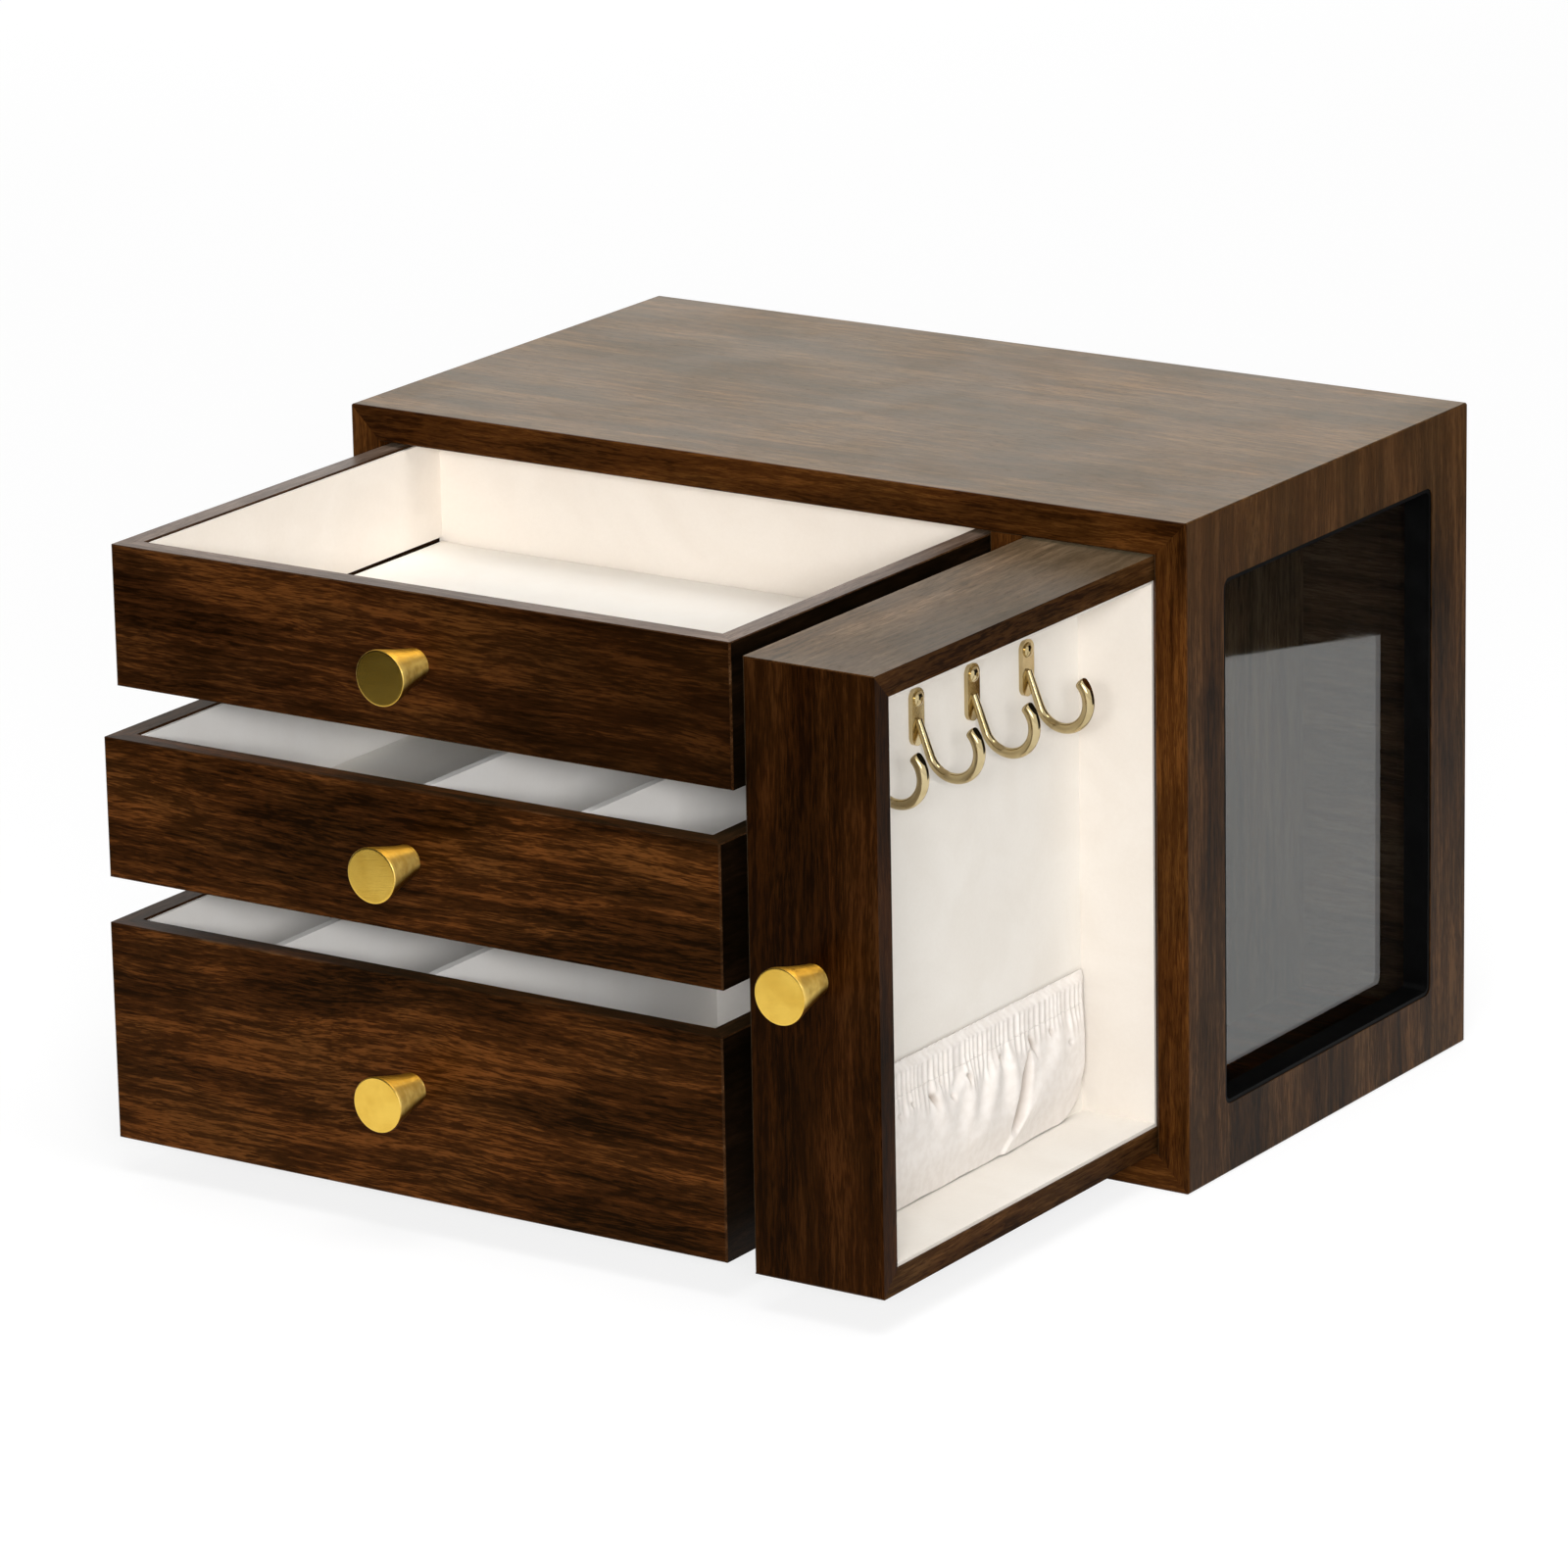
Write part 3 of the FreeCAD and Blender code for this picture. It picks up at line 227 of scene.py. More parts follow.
class Effects:
    """The node groups that several finishes share, each built once.

    Each fill method takes the group's tree and its inputs and returns its outputs by name.
    """

    def __init__(self) -> None:
        """Build every group."""
        self.grain = node_group("wood_grain", self.fill_grain, Warp=0.0025, Fineness=1.0)
        self.handling = node_group("handling", self.fill_handling, Scale=22.0)
        self.pile = node_group("velvet_pile", self.fill_pile)
        self.brushing = node_group("brushed_metal", self.fill_brushing)
        self.turning = node_group("turned_metal", self.fill_turning)
        self.weave = node_group("fine_weave", self.fill_weave, Threads=2600.0)

    @staticmethod
    def fill_grain(tree: Tree, place: Socket, warp: Socket, fineness: Socket) -> Sockets:
        """Broad figure, streaks, short dark dashes and pores along X, in metres.

        Args:
            tree: the group's tree.
            place: where on the board, with the grain along X.
            warp: how far the grain sways.
            fineness: scale of the layers finer than the figure.

        Returns:
            Figure, Streaks, Pores, Hue and Height.
        """
        sway = tree.minus(tree.drawn_out(place, 6.0, 20.0), 0.5)
        ripple = tree.minus(tree.drawn_out(place, 60.0, 170.0, (3.0, 1.0, 7.0), detail=1.0), 0.5)
        bend = tree.times(tree.plus(tree.times(sway, 5.0), tree.times(ripple, 0.40)), warp)
        bent = tree.vector("ADD", place, tree.joined(0.0, bend, bend))
        bands = tree.drawn_out(bent, 9.0, 115.0, (1.3, 0.2, 4.1), detail=3.0, roughness=0.6)
        cloud = tree.drawn_out(bent, 15.0, 36.0, (6.1, 3.2, 1.1))
        hue = tree.drawn_out(bent, 26.0, 70.0, (9.3, 5.2, 2.1))
        streaks = tree.drawn_out(bent, 34.0, 560.0, (7.7, 3.1, 0.4), scale=fineness, detail=4.0,
                                 roughness=0.66)
        dashes = tree.drawn_out(bent, 125.0, 1250.0, (2.9, 8.4, 5.5), scale=fineness, detail=1.0)
        fibres = tree.drawn_out(bent, 210.0, 2900.0, (0.6, 2.2, 9.1), scale=fineness)
        pores = tree.drawn_out(bent, 260.0, 3300.0, (4.4, 6.3, 1.9), scale=fineness, detail=1.0)
        lines = tree.mixture(streaks, 0.62, fibres)
        dark = tree.times(tree.window(dashes, 0.55, 0.68), 0.55)
        pits = tree.window(pores, 0.60, 0.72)
        return {"Figure": tree.window(tree.mixture(bands, 0.55, cloud), 0.36, 0.64),
                "Streaks": tree.math("SUBTRACT", tree.window(lines, 0.37, 0.63), dark, clamp=True),
                "Pores": pits, "Hue": tree.window(hue, 0.40, 0.62),
                "Height": tree.minus(lines, tree.times(pits, 0.35))}

    @staticmethod
    def fill_handling(tree: Tree, place: Socket, scale: Socket) -> Sockets:
        """Soft smudges left by hands, and a thin uneven film of dust."""
        smudge = tree.noise(place, scale=scale, detail=3.0, roughness=0.6, distortion=0.6)
        dust = tree.drawn_out(place, 3.0, 3.0, (5.0, 2.0, 8.0), scale=scale, detail=4.0,
                              roughness=0.7)
        return {"Smudge": tree.window(smudge, 0.35, 0.70), "Dust": tree.window(dust, 0.45, 0.75)}

    @staticmethod
    def fill_pile(tree: Tree, place: Socket) -> Sockets:
        """Short velvet pile, brushed this way and that in broad strokes."""
        stroke = tree.noise(place, scale=34.0, detail=3.0, roughness=0.55, distortion=0.8)
        fleck = tree.noise(place, scale=900.0, roughness=0.7)
        hair = tree.noise(place, scale=3200.0, detail=1.0)
        return {"Stroke": tree.mixture(tree.window(stroke, 0.32, 0.68), 0.75,
                                       tree.window(fleck, 0.3, 0.7)),
                "Height": tree.mixture(hair, 0.6, fleck)}

    @staticmethod
    def fill_brushing(tree: Tree, place: Socket) -> Sockets:
        """Hairlines along X left by a fine abrasive, and faint cloudy tarnish."""
        fine = tree.drawn_out(place, 120.0, 5200.0, roughness=0.7)
        coarse = tree.drawn_out(place, 60.0, 1700.0, (3.0, 5.0, 2.0))
        return {"Lines": tree.mixture(fine, 0.65, coarse),
                "Tarnish": tree.window(tree.noise(place, scale=160.0), 0.35, 0.7)}

    @staticmethod
    def fill_turning(tree: Tree, place: Socket) -> Sockets:
        """Fine rings that a lathe leaves about the Y axis."""
        rings = tree.vector("MULTIPLY_ADD", place, (0.0, 9000.0, 0.0))
        return {"Rings": tree.noise(rings, detail=1.0, roughness=0.6),
                "Wear": tree.window(tree.noise(place, scale=420.0), 0.35, 0.7)}

    @staticmethod
    def fill_weave(tree: Tree, place: Socket, threads: Socket) -> Sockets:
        """Plain fine weave over two directions of a piece's own UV map, with uneven threads."""
        slub = tree.noise(tree.vector("MULTIPLY_ADD", place, (300.0, 300.0, 0.0)), detail=3.0)
        warp, weft = (
            tree.math("SINE", tree.plus(tree.times(tree.part(place, axis), threads),
                                        tree.times(slub, 2.0))) for axis in range(2))
        return {"Height": tree.plus(tree.times(tree.times(warp, weft), 0.5), 0.5),
                "Slub": tree.window(slub, 0.35, 0.65)}


# Finishes

class Grain(Enum):
    """The axis that a board's grain runs along, with the turn that lays it on X."""

    ACROSS = ORIGIN
    DEEP = (0.0, 0.0, math.radians(90))
    UPRIGHT = (0.0, math.radians(90), 0.0)


@dataclass(frozen=True)
class Finish:
    """A procedural finish on a Principled shader."""

    name: str

    def look(self, tree: Tree, effects: Effects) -> Sockets:
        """What to feed the shader's sockets, which each kind of finish says for itself.

        Args:
            tree: the material's tree.
            effects: the shared node groups.

        Returns:
            Socket name to a constant or to another node's output.
        """
        return {}

    def build(self, effects: Effects) -> Material:
        """Make the material.

        Args:
            effects: the shared node groups.

        Returns:
            The new material.
        """
        material = bpy.data.materials.new(self.name)
        material.use_nodes = True
        material.node_tree.nodes.clear()
        tree = Tree(material.node_tree)
        shader = tree.add("ShaderNodeBsdfPrincipled", self.look(tree, effects))
        tree.add("ShaderNodeOutputMaterial", {"Surface": shader.outputs[0]})
        return material


@dataclass(frozen=True)
class Veneer(Finish):
    """Lacquered walnut veneer.

    heart is an axis, where along it the heartwood starts and is full, and its share of the dark
    colour, or of the light one where the share is negative.
    """

    grain: Grain = Grain.ACROSS
    dark: Colour = srgb(18, 6, 0)
    middle: Colour = srgb(52, 26, 6)
    light: Colour = srgb(100, 57, 23)
    warp: float = 0.0025
    fineness: float = 1.0
    roughness: float = 0.30
    specular: float = 0.15
    ior: float = 1.2
    sheen: float = 0.06
    offset: tuple[float, float, float] = ORIGIN
    heart: tuple[float, ...] = ()

    def look(self, tree: Tree, effects: Effects) -> Sockets:
        """Grain in three tones with darker pores, under a thin lacquer that hands have smudged."""
        grain = tree.use(effects.grain, Vector=tree.placed(self.grain.value, self.offset),
                         Warp=self.warp, Fineness=self.fineness)
        hands = tree.use(effects.handling, Vector=tree.placed(), Scale=22.0)
        tone = tree.mixture(grain["Figure"], 0.50, grain["Streaks"])
        lower = tree.blend(tree.window(tone, 0.0, 0.55), self.dark, self.middle)
        colour = tree.blend(tree.window(tone, 0.45, 1.0), lower, self.light)
        if self.heart:
            axis, start, full, share = self.heart
            along = tree.window(tree.part(tree.placed(), axis), start, full)
            colour = tree.blend(tree.times(along, abs(share)), colour,
                                self.dark if share > 0 else self.light)
        colour = tree.blend(tree.times(grain["Hue"], 0.6), colour, (0.82, 0.92, 1.0),
                            mode="MULTIPLY")
        rough = tree.plus(self.roughness, tree.times(hands["Smudge"], 0.07))
        return {"Base Color": tree.blend(tree.times(grain["Pores"], 0.55), colour, self.dark),
                "Roughness": tree.plus(rough, tree.times(grain["Pores"], 0.10)),
                "Normal": tree.bump(grain["Height"], 0.10, 0.0003),
                "Specular IOR Level": self.specular, "Specular Tint": (1.0, 0.62, 0.34),
                "IOR": self.ior, "Sheen Weight": self.sheen, "Sheen Roughness": 0.3,
                "Sheen Tint": (1.0, 0.80, 0.45)}


@dataclass(frozen=True)
class Velvet(Finish):
    """Short-piled lining cloth on card."""

    colour: Colour
    shade: Colour

    def look(self, tree: Tree, effects: Effects) -> Sockets:
        """Pile that is lighter and smoother where it has been stroked."""
        pile = tree.use(effects.pile, Vector=tree.placed())
        return {"Base Color": tree.blend(pile["Stroke"], self.shade, self.colour),
                "Roughness": tree.minus(0.9, tree.times(pile["Stroke"], 0.06)),
                "Normal": tree.bump(pile["Height"], 0.22, 0.0002),
                "Specular IOR Level": 0.15, "Sheen Weight": 0.12, "Sheen Roughness": 0.45}


@dataclass(frozen=True)
class GatheredCloth(Finish):
    """Fine soft cloth of the pocket, woven along its own UV map, with painted shade in its folds.
    """

    colour: Colour = srgb(233, 227, 221)
    shade: Colour = srgb(226, 219, 212)
    # Painted shade: the colour of the deepest folds.
    painted_fold_shade: Colour = srgb(158, 143, 130)
    threads: float = 26000.0

    def look(self, tree: Tree, effects: Effects) -> Sockets:
        """Weave with uneven threads, darkened towards the painted fold shade by the sheet's
        attribute.
        """
        flat = tree.add("ShaderNodeUVMap", uv_map="cloth").outputs[0]
        weave = tree.use(effects.weave, Vector=flat, Threads=self.threads)
        cloth = tree.blend(weave["Slub"], self.shade, self.colour)
        # The attribute holds painted shade: how deep in a fold each point lies.
        fold_shade = tree.add("ShaderNodeAttribute", attribute_name="fold_shade").outputs["Fac"]
        return {"Base Color": tree.blend(fold_shade, cloth, self.painted_fold_shade),
                "Roughness": tree.plus(0.62, tree.times(weave["Slub"], 0.10)),
                "Normal": tree.bump(weave["Height"], 0.05, 0.0001),
                "Sheen Weight": 0.2, "Specular IOR Level": 0.3}


@dataclass(frozen=True)
class Brushed(Finish):
    """Solid coloured metal with a fine abrasive finish."""

    colour: Colour
    tarnish: Colour
    roughness: float
    turn: tuple[float, float, float] = ORIGIN
    lines: float = 0.10

    def look(self, tree: Tree, effects: Effects) -> Sockets:
        """Hairlines and faint tarnish."""
        brushing = tree.use(effects.brushing, Vector=tree.placed(self.turn))
        return {"Base Color": tree.blend(tree.times(brushing["Tarnish"], 0.5), self.colour,
                                         self.tarnish),
                "Roughness": tree.plus(self.roughness, tree.times(brushing["Lines"], self.lines)),
                "Normal": tree.bump(brushing["Lines"], self.lines, 0.0001), "Metallic": 1.0}


@dataclass(frozen=True)
class TurnedMetal(Finish):
    """Solid coloured metal with a lathe's fine rings about the Y axis, which spread its gloss."""

    colour: Colour
    tarnish: Colour
    painted_underside_shade: Colour
    roughness: float = 0.30
    spread: float = 5.0
    facing_front: float = 0.45

    def look(self, tree: Tree, effects: Effects) -> Sockets:
        """Rings that tilt the normal along Y, and painted reflection in the colour: duller on faces
        that look up, dark on faces that look down.
        """
        turning = tree.use(effects.turning, Vector=tree.placed())
        facing = tree.add("ShaderNodeNewGeometry").outputs["Normal"]
        upward = tree.part(facing, 2)
        metal = tree.blend(tree.times(turning["Wear"], 0.5), self.colour, self.tarnish)
        # Painted reflection: faces that look up take the duller tarnish colour and faces that look
        # down the painted shade colour, by the way they face.
        metal = tree.blend(tree.window(upward, 0.25, 0.9), metal, self.tarnish)
        metal = tree.blend(tree.window(upward, 0.10, -0.35), metal, self.painted_underside_shade)
        tilt = tree.times(tree.minus(turning["Rings"], 0.5), self.spread)
        lean = tree.joined(0.0, tree.minus(tilt, self.facing_front), 0.0)
        leaning = tree.vector("ADD", facing, lean)
        return {"Base Color": metal,
                "Roughness": tree.plus(self.roughness, tree.times(turning["Wear"], 0.06)),
                "Normal": tree.vector("NORMALIZE", leaning, ORIGIN), "Metallic": 1.0}


@dataclass(frozen=True)
class Plastic(Finish):
    """Moulded plastic with a fine grained skin."""

    colour: Colour
    roughness: float = 0.5

    def look(self, tree: Tree, effects: Effects) -> Sockets:
        """Fine skin with smudges, lifted a little where dust lies."""
        place = tree.placed()
        hands = tree.use(effects.handling, Vector=place, Scale=40.0)
        dusty = tuple(min(1.0, level * 1.6 + 0.002) for level in self.colour)
        return {"Base Color": tree.blend(tree.times(hands["Dust"], 0.5), self.colour, dusty),
                "Roughness": tree.plus(self.roughness, tree.times(hands["Smudge"], 0.08)),
                "Normal": tree.bump(tree.noise(place, scale=2400.0), 0.15, 0.0001),
                "Specular IOR Level": 0.06}


@dataclass(frozen=True)
class PaneGlass(Finish):
    """Clear pane with faint smudges on its faces."""

    tint: Colour = srgb(232, 236, 232)
    dusty: Colour = srgb(225, 226, 222)

    def look(self, tree: Tree, effects: Effects) -> Sockets:
        """Smooth glass, a little rough where it is smudged and paler where dust lies."""
        hands = tree.use(effects.handling, Vector=tree.placed(), Scale=26.0)
        return {"Roughness": tree.times(hands["Smudge"], 0.03),
                "Base Color": tree.blend(tree.times(hands["Dust"], 0.3), self.tint, self.dusty),
                "Transmission Weight": 1.0, "IOR": 1.42}


@dataclass(frozen=True)
class FloorPaper(Finish):
    """Matt paper that is white where a camera, gloss or glass looks."""

    def look(self, tree: Tree, effects: Effects) -> Sockets:
        """Pale grey for plain light, and mostly its own even glow where it is seen."""
        paper = tree.blend(tree.noise(tree.placed(), scale=3.0), (0.80, 0.80, 0.80),
                           (0.82, 0.82, 0.82))
        seen = tree.seen()
        return {"Base Color": tree.blend(seen, paper, (0.25, 0.25, 0.25)),
                "Emission Color": tree.blend(seen, ORIGIN, (0.80, 0.80, 0.80)),
                "Emission Strength": 1.0, "Roughness": 0.95, "Specular IOR Level": 0.0}


@dataclass(frozen=True)
class CardPaper(Finish):
    """Dark matt card that may glow."""

    glow: float = 0.0

    def look(self, tree: Tree, effects: Effects) -> Sockets:
        """Near black, with the card's glow."""
        return {"Base Color": (0.02, 0.018, 0.016), "Roughness": 1.0, "Specular IOR Level": 0.0,
                "Emission Color": WHITE, "Emission Strength": self.glow}


@dataclass
class Finishes:
    """Every material, built once from the shared effects."""

    effects: Effects = field(default_factory=Effects)
    made: dict[str, Material] = field(default_factory=dict)

    def of(self, finish: Finish) -> Material:
        """The finish's material, built when it is first asked for."""
        if finish.name not in self.made:
            self.made[finish.name] = finish.build(self.effects)
        return self.made[finish.name]


VENEER_ACROSS = Veneer("walnut_across")
VENEER_HEART = Veneer("walnut_heart", heart=(0, -0.05, 0.06, 0.60), offset=(0.13, 0.4, 0.35),
                      middle=srgb(47, 23, 6), light=srgb(90, 51, 20))
# Painted light: the case top's walnut is painted paler than the fronts', for the light on its
# upward face.
VENEER_TOP = Veneer("walnut_top", dark=srgb(24, 10, 2), middle=srgb(68, 42, 17),
                    light=srgb(118, 84, 50), offset=(0.31, 0.17, 0.0), specular=0.5, ior=1.36,
                    sheen=0.31)
VENEER_DEEP = Veneer("walnut_deep", grain=Grain.DEEP, offset=(0.0, 0.11, 0.05),
                     middle=srgb(48, 27, 9), light=srgb(78, 50, 27))
# Painted shade: a near-black copy of the deep-grain walnut for the drawers' right sides, which
# stand in shadow beside the tray.
VENEER_SHADED_DRAWER_SIDE = Veneer("walnut_drawer_side_painted_shade", grain=Grain.DEEP, dark=srgb(5, 2, 0),
                            middle=srgb(18, 9, 3), light=srgb(34, 20, 9))
# Painted light: the divider's walnut is painted paler and greyer than the rest, making up for the
# light that the pane keeps from it.
VENEER_DIVIDER = Veneer("walnut_divider", grain=Grain.UPRIGHT, dark=srgb(38, 26, 16),
                        middle=srgb(76, 58, 42), light=srgb(100, 80, 60), specular=0.1)
BACK_BOARD = Veneer("stained_back", dark=srgb(52, 37, 26), middle=srgb(74, 56, 42),
                    light=srgb(98, 78, 60), roughness=0.55)
# Painted light: a paler, greyer copy of the walnut for the top drawer's wall tops, which catch more
# light than the lower drawers' rims in the shade beneath.
LIT_RIM_ACROSS = Veneer("walnut_rim_painted_light_across", offset=(0.4, 0.7, 0.1), dark=srgb(60, 44, 36),
                    middle=srgb(98, 80, 68), light=srgb(134, 115, 102), specular=0.5, ior=1.36,
                    sheen=0.05)
LIT_RIM_DEEP = replace(LIT_RIM_ACROSS, name="walnut_rim_painted_light_deep", grain=Grain.DEEP)
# Painted light: a paler, greyer copy of the tray rail's walnut for the upward face of the tray's
# top, standing in for the pale haze of reflected light on it.
VENEER_LIT_TRAY_TOP = Veneer("walnut_tray_top_painted_light", grain=Grain.DEEP, offset=(0.4, 0.2, 0.15),
                         dark=srgb(34, 20, 12), middle=srgb(84, 62, 44), light=srgb(128, 102, 78),
                         specular=0.3, ior=1.24, sheen=0.25, heart=(0, 0.100, 0.110, 0.55))
VENEER_TRAY_RAIL = Veneer("walnut_tray_rail", grain=Grain.DEEP, offset=(0.4, 0.2, 0.15),
                          dark=srgb(28, 13, 4), middle=srgb(60, 36, 15), light=srgb(88, 58, 30),
                          specular=0.1, ior=1.15)
VENEER_UPRIGHT = Veneer("walnut_upright", grain=Grain.UPRIGHT, offset=(0.05, 0.23, 0.3))
VENEER_WINDOW_SIDE = Veneer("walnut_window_side", grain=Grain.UPRIGHT, offset=(0.35, 0.6, 0.2),
                            middle=srgb(53, 31, 11), light=srgb(90, 60, 33), ior=1.28,
                            heart=(2, 0.14, 0.19, -0.35))
VENEER_TRAY_FRONT = Veneer("walnut_tray_front", grain=Grain.UPRIGHT, offset=(0.2, 0.45, 0.1),
                           dark=srgb(15, 4, 0), middle=srgb(37, 16, 2), light=srgb(60, 32, 10))
EDGING_ACROSS = Veneer("edging_across", dark=srgb(32, 13, 2), middle=srgb(63, 34, 10),
                       light=srgb(92, 55, 22), warp=0.001, fineness=1.4, offset=(0.7, 0.1, 0.2))
EDGING_UPRIGHT = replace(EDGING_ACROSS, name="edging_upright", grain=Grain.UPRIGHT,
                         offset=(0.2, 0.9, 0.4))
# A less saturated walnut, with more gloss, for the narrow eased faces along the boards' edges.
ARRIS_WALNUT = Veneer("arris_walnut", dark=srgb(26, 12, 4), middle=srgb(54, 31, 13),
                    light=srgb(86, 60, 38), specular=0.3, ior=1.3)
HIDDEN_BOARD = Veneer("stained_board", dark=srgb(30, 18, 11), middle=srgb(48, 32, 21),
                      light=srgb(62, 44, 31), roughness=0.62, specular=0.15)
# The velvets are one cream cloth in copies of different brightness, painted light and painted shade
# for how much light reaches each place: the lower drawers' and the floor velvets paler, the tray's
# darker.
TOP_LINING = Velvet("top_drawer_velvet", colour=srgb(238, 230, 220), shade=srgb(233, 224, 213))
DRAWER_LINING = Velvet("drawer_velvet", colour=srgb(252, 249, 245), shade=srgb(248, 244, 239))
TRAY_LINING = Velvet("tray_velvet", colour=srgb(233, 228, 220), shade=srgb(228, 222, 213))
# Painted shade: a darker copy of the tray velvet for the side faces of the tray's wall lining; its
# upward faces keep the tray velvet.
SHADED_WALL_LINING = Velvet("tray_wall_velvet", colour=srgb(220, 213, 204), shade=srgb(215, 207, 197))
FLOOR_VELVET = Velvet("floor_velvet", colour=srgb(253, 249, 241), shade=srgb(250, 244, 235))
POCKET_CLOTH = GatheredCloth("pocket_cloth")
BRASS = Brushed("knob_brass", srgb(238, 197, 88), srgb(216, 170, 62), 0.20,
                turn=(0.0, math.radians(8), 0.0))
# The third colour is painted shade for the knob flank's downward faces.
TURNED_BRASS = TurnedMetal("turned_brass", srgb(250, 214, 118), srgb(200, 148, 50),
                           srgb(84, 50, 10))
HOOK_METAL = Brushed("hook_metal", srgb(200, 182, 140), srgb(166, 146, 98), 0.11, lines=0.05)
STEEL = Brushed("screw_steel", srgb(186, 184, 180), srgb(150, 147, 141), 0.3)
BLACK_PLASTIC = Plastic("window_black", srgb(3, 3, 3))
GLASS = PaneGlass("window_glass")

# Meshes

def grid(columns: int, rows: int, size: float = 0.5) -> Mesh:
    """Flat grid about the origin, out to size on each side."""
    mesh = bmesh.new()
    bmesh.ops.create_grid(mesh, x_segments=columns, y_segments=rows, size=size)
    return mesh


def as_object(name: str, mesh: Mesh, material: Material) -> Piece:
    """Turn a finished bmesh into an object of the scene.

    Args:
        name: the object's name.
        mesh: its shape, in the frame's own place.
        material: its finish.

    Returns:
        The new object.
    """
    data = bpy.data.meshes.new(name)
    mesh.to_mesh(data)
    mesh.free()
    data.materials.append(material)
    item = bpy.data.objects.new(name, data)
    bpy.context.scene.collection.objects.link(item)
    return item


def new_piece(name: str, mesh: Mesh, body: str, material: Material) -> Piece:
    """Turn a finished bmesh into a smooth piece that rides on a body.

    Args:
        name: the piece's name.
        mesh: its shape, in the frame's own place.
        body: the body that carries it.
        material: its finish.

    Returns:
        The new object.
    """
    piece = as_object(name, mesh, material)
    for face in piece.data.polygons:
        face.use_smooth = True
    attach(piece, body)
    log.info("%s: %d faces", name, len(piece.data.polygons))
    return piece


def dress(node: str, *materials: Material) -> bpy.types.Mesh:
    """Give a CAD node its finishes, the first of them on every face.

    Args:
        node: the node's name.
        *materials: the finishes.

    Returns:
        The node's mesh.
    """
    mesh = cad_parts[node].data
    mesh.materials.clear()
    for material in materials:
        mesh.materials.append(material)
    log.info("%s: %s", node, materials[0].name)
    return mesh


def dress_board(node: str, side: Material, edge_finish: Material, top: Material) -> None:
    """Give a CAD board its finish, with others on its eased edges and its upper face.

    Args:
        node: the board's name.
        side: the finish of its other faces.
        edge_finish: the finish of the narrow faces between them.
        top: the finish of the faces that look up.
    """
    square = 0.95
    for face in dress(node, side, edge_finish, top).polygons:
        eased = max(abs(part) for part in face.normal) < square
        # Callers may give the upward faces a paler copy of the side finish, which is then painted
        # light.
        face.material_index = 1 if eased else 2 if face.normal.z > square else 0


def clamp(value: float, low: float = 0.0, high: float = 1.0) -> float:
    """The value held between low and high."""
    return max(low, min(high, value))


def smooth_step(value: float, low: float, high: float) -> float:
    """0 below low, 1 above high and smooth between them."""
    share = clamp((value - low) / (high - low))
    return share * share * (3.0 - 2.0 * share)


# Padded floors

@dataclass
class FloorPad:
    """Velvet-covered pad on the floor of a drawer."""

    drawer: str
    finishes: Finishes
    edge_radius: float = 1.1 * MM
    crown: float = 0.25 * MM
    crown_reach: float = 9.0 * MM
    unevenness: float = 0.05 * MM
    waves: tuple[float, float] = (92.0, 117.0)
    sharp: float = 1.0
    fill: float = 0.9
    cells_across: int = 64
    cells_deep: int = 46
    shrink_left: tuple[float, float] = (0.1 * MM, 0.1 * MM)
    shrink_rear: float = 0.0
    rise_left: float = 0.0

    def build(self) -> Piece:
        """Model the pad, with rounded edges and a soft, slightly uneven top.

        Returns:
            The pad.
        """
        node = f"{self.drawer}_floor_pad"
        low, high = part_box(node)
        size, middle = high - low, (low + high) / 2
        mesh = grid(self.cells_across, self.cells_deep)
        bmesh.ops.scale(mesh, vec=(size.x, size.y, 1.0), verts=mesh.verts)
        bmesh.ops.translate(mesh, vec=(middle.x, middle.y, high.z), verts=mesh.verts)
        border = [edge for edge in mesh.edges if edge.is_boundary]
        extruded = bmesh.ops.extrude_edge_only(mesh, edges=border)["geom"]
        skirt = [item for item in extruded if isinstance(item, bmesh.types.BMVert)]
        bmesh.ops.translate(mesh, vec=(0.0, 0.0, -size.z), verts=skirt)
        rim = [edge for edge in mesh.edges if edge.is_boundary]
        bmesh.ops.contextual_create(mesh, geom=rim)
        bmesh.ops.recalc_face_normals(mesh, faces=mesh.faces)
        arris = [edge for edge in mesh.edges
                 if len(edge.link_faces) == 2 and edge.calc_face_angle(0.0) > self.sharp
                 and min(vert.co.z for vert in edge.verts) > high.z - 0.1 * MM]
        bmesh.ops.bevel(mesh, geom=arris, offset=self.edge_radius, offset_type="OFFSET",
                        segments=3, profile=0.5, affect="EDGES", material=-1)
        for vert in mesh.verts:
            self.shape(vert, low, high)
        pad = new_piece(f"{self.drawer}_padded_floor", mesh, self.drawer,
                        self.finishes.of(FLOOR_VELVET))
        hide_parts(node)
        return pad

    def shape(self, vert: bmesh.types.BMVert, low: Vector, high: Vector) -> None:
        """Move one point: shrink the pad from the left and rear, crown and soften its top.

        Args:
            vert: the point.
            low: the pad's lowest corner.
            high: its highest corner.
        """
        along = (vert.co.y - low.y) / (high.y - low.y)
        across = (vert.co.x - low.x) / (high.x - low.x)
        left = self.shrink_left[0] + (self.shrink_left[1] - self.shrink_left[0]) * along
        vert.co.x += left * (1.0 - across)
        vert.co.y -= self.shrink_rear * along
        if vert.co.z > high.z - 0.05 * MM:
            inset = min(min(across, 1.0 - across) * (high.x - low.x),
                        min(along, 1.0 - along) * (high.y - low.y))
            vert.co.z -= self.crown * (1.0 - smooth_step(inset, 0.0, self.crown_reach))
            vert.co.z += self.rise_left * along * (1.0 - smooth_step(across, 0.0, 0.10))
            wave = (math.sin(vert.co.x * self.waves[0])
                    * math.sin(vert.co.y * self.waves[1] + 1.0))
            vert.co.z += self.unevenness * (wave - 1.0)


# The pocket

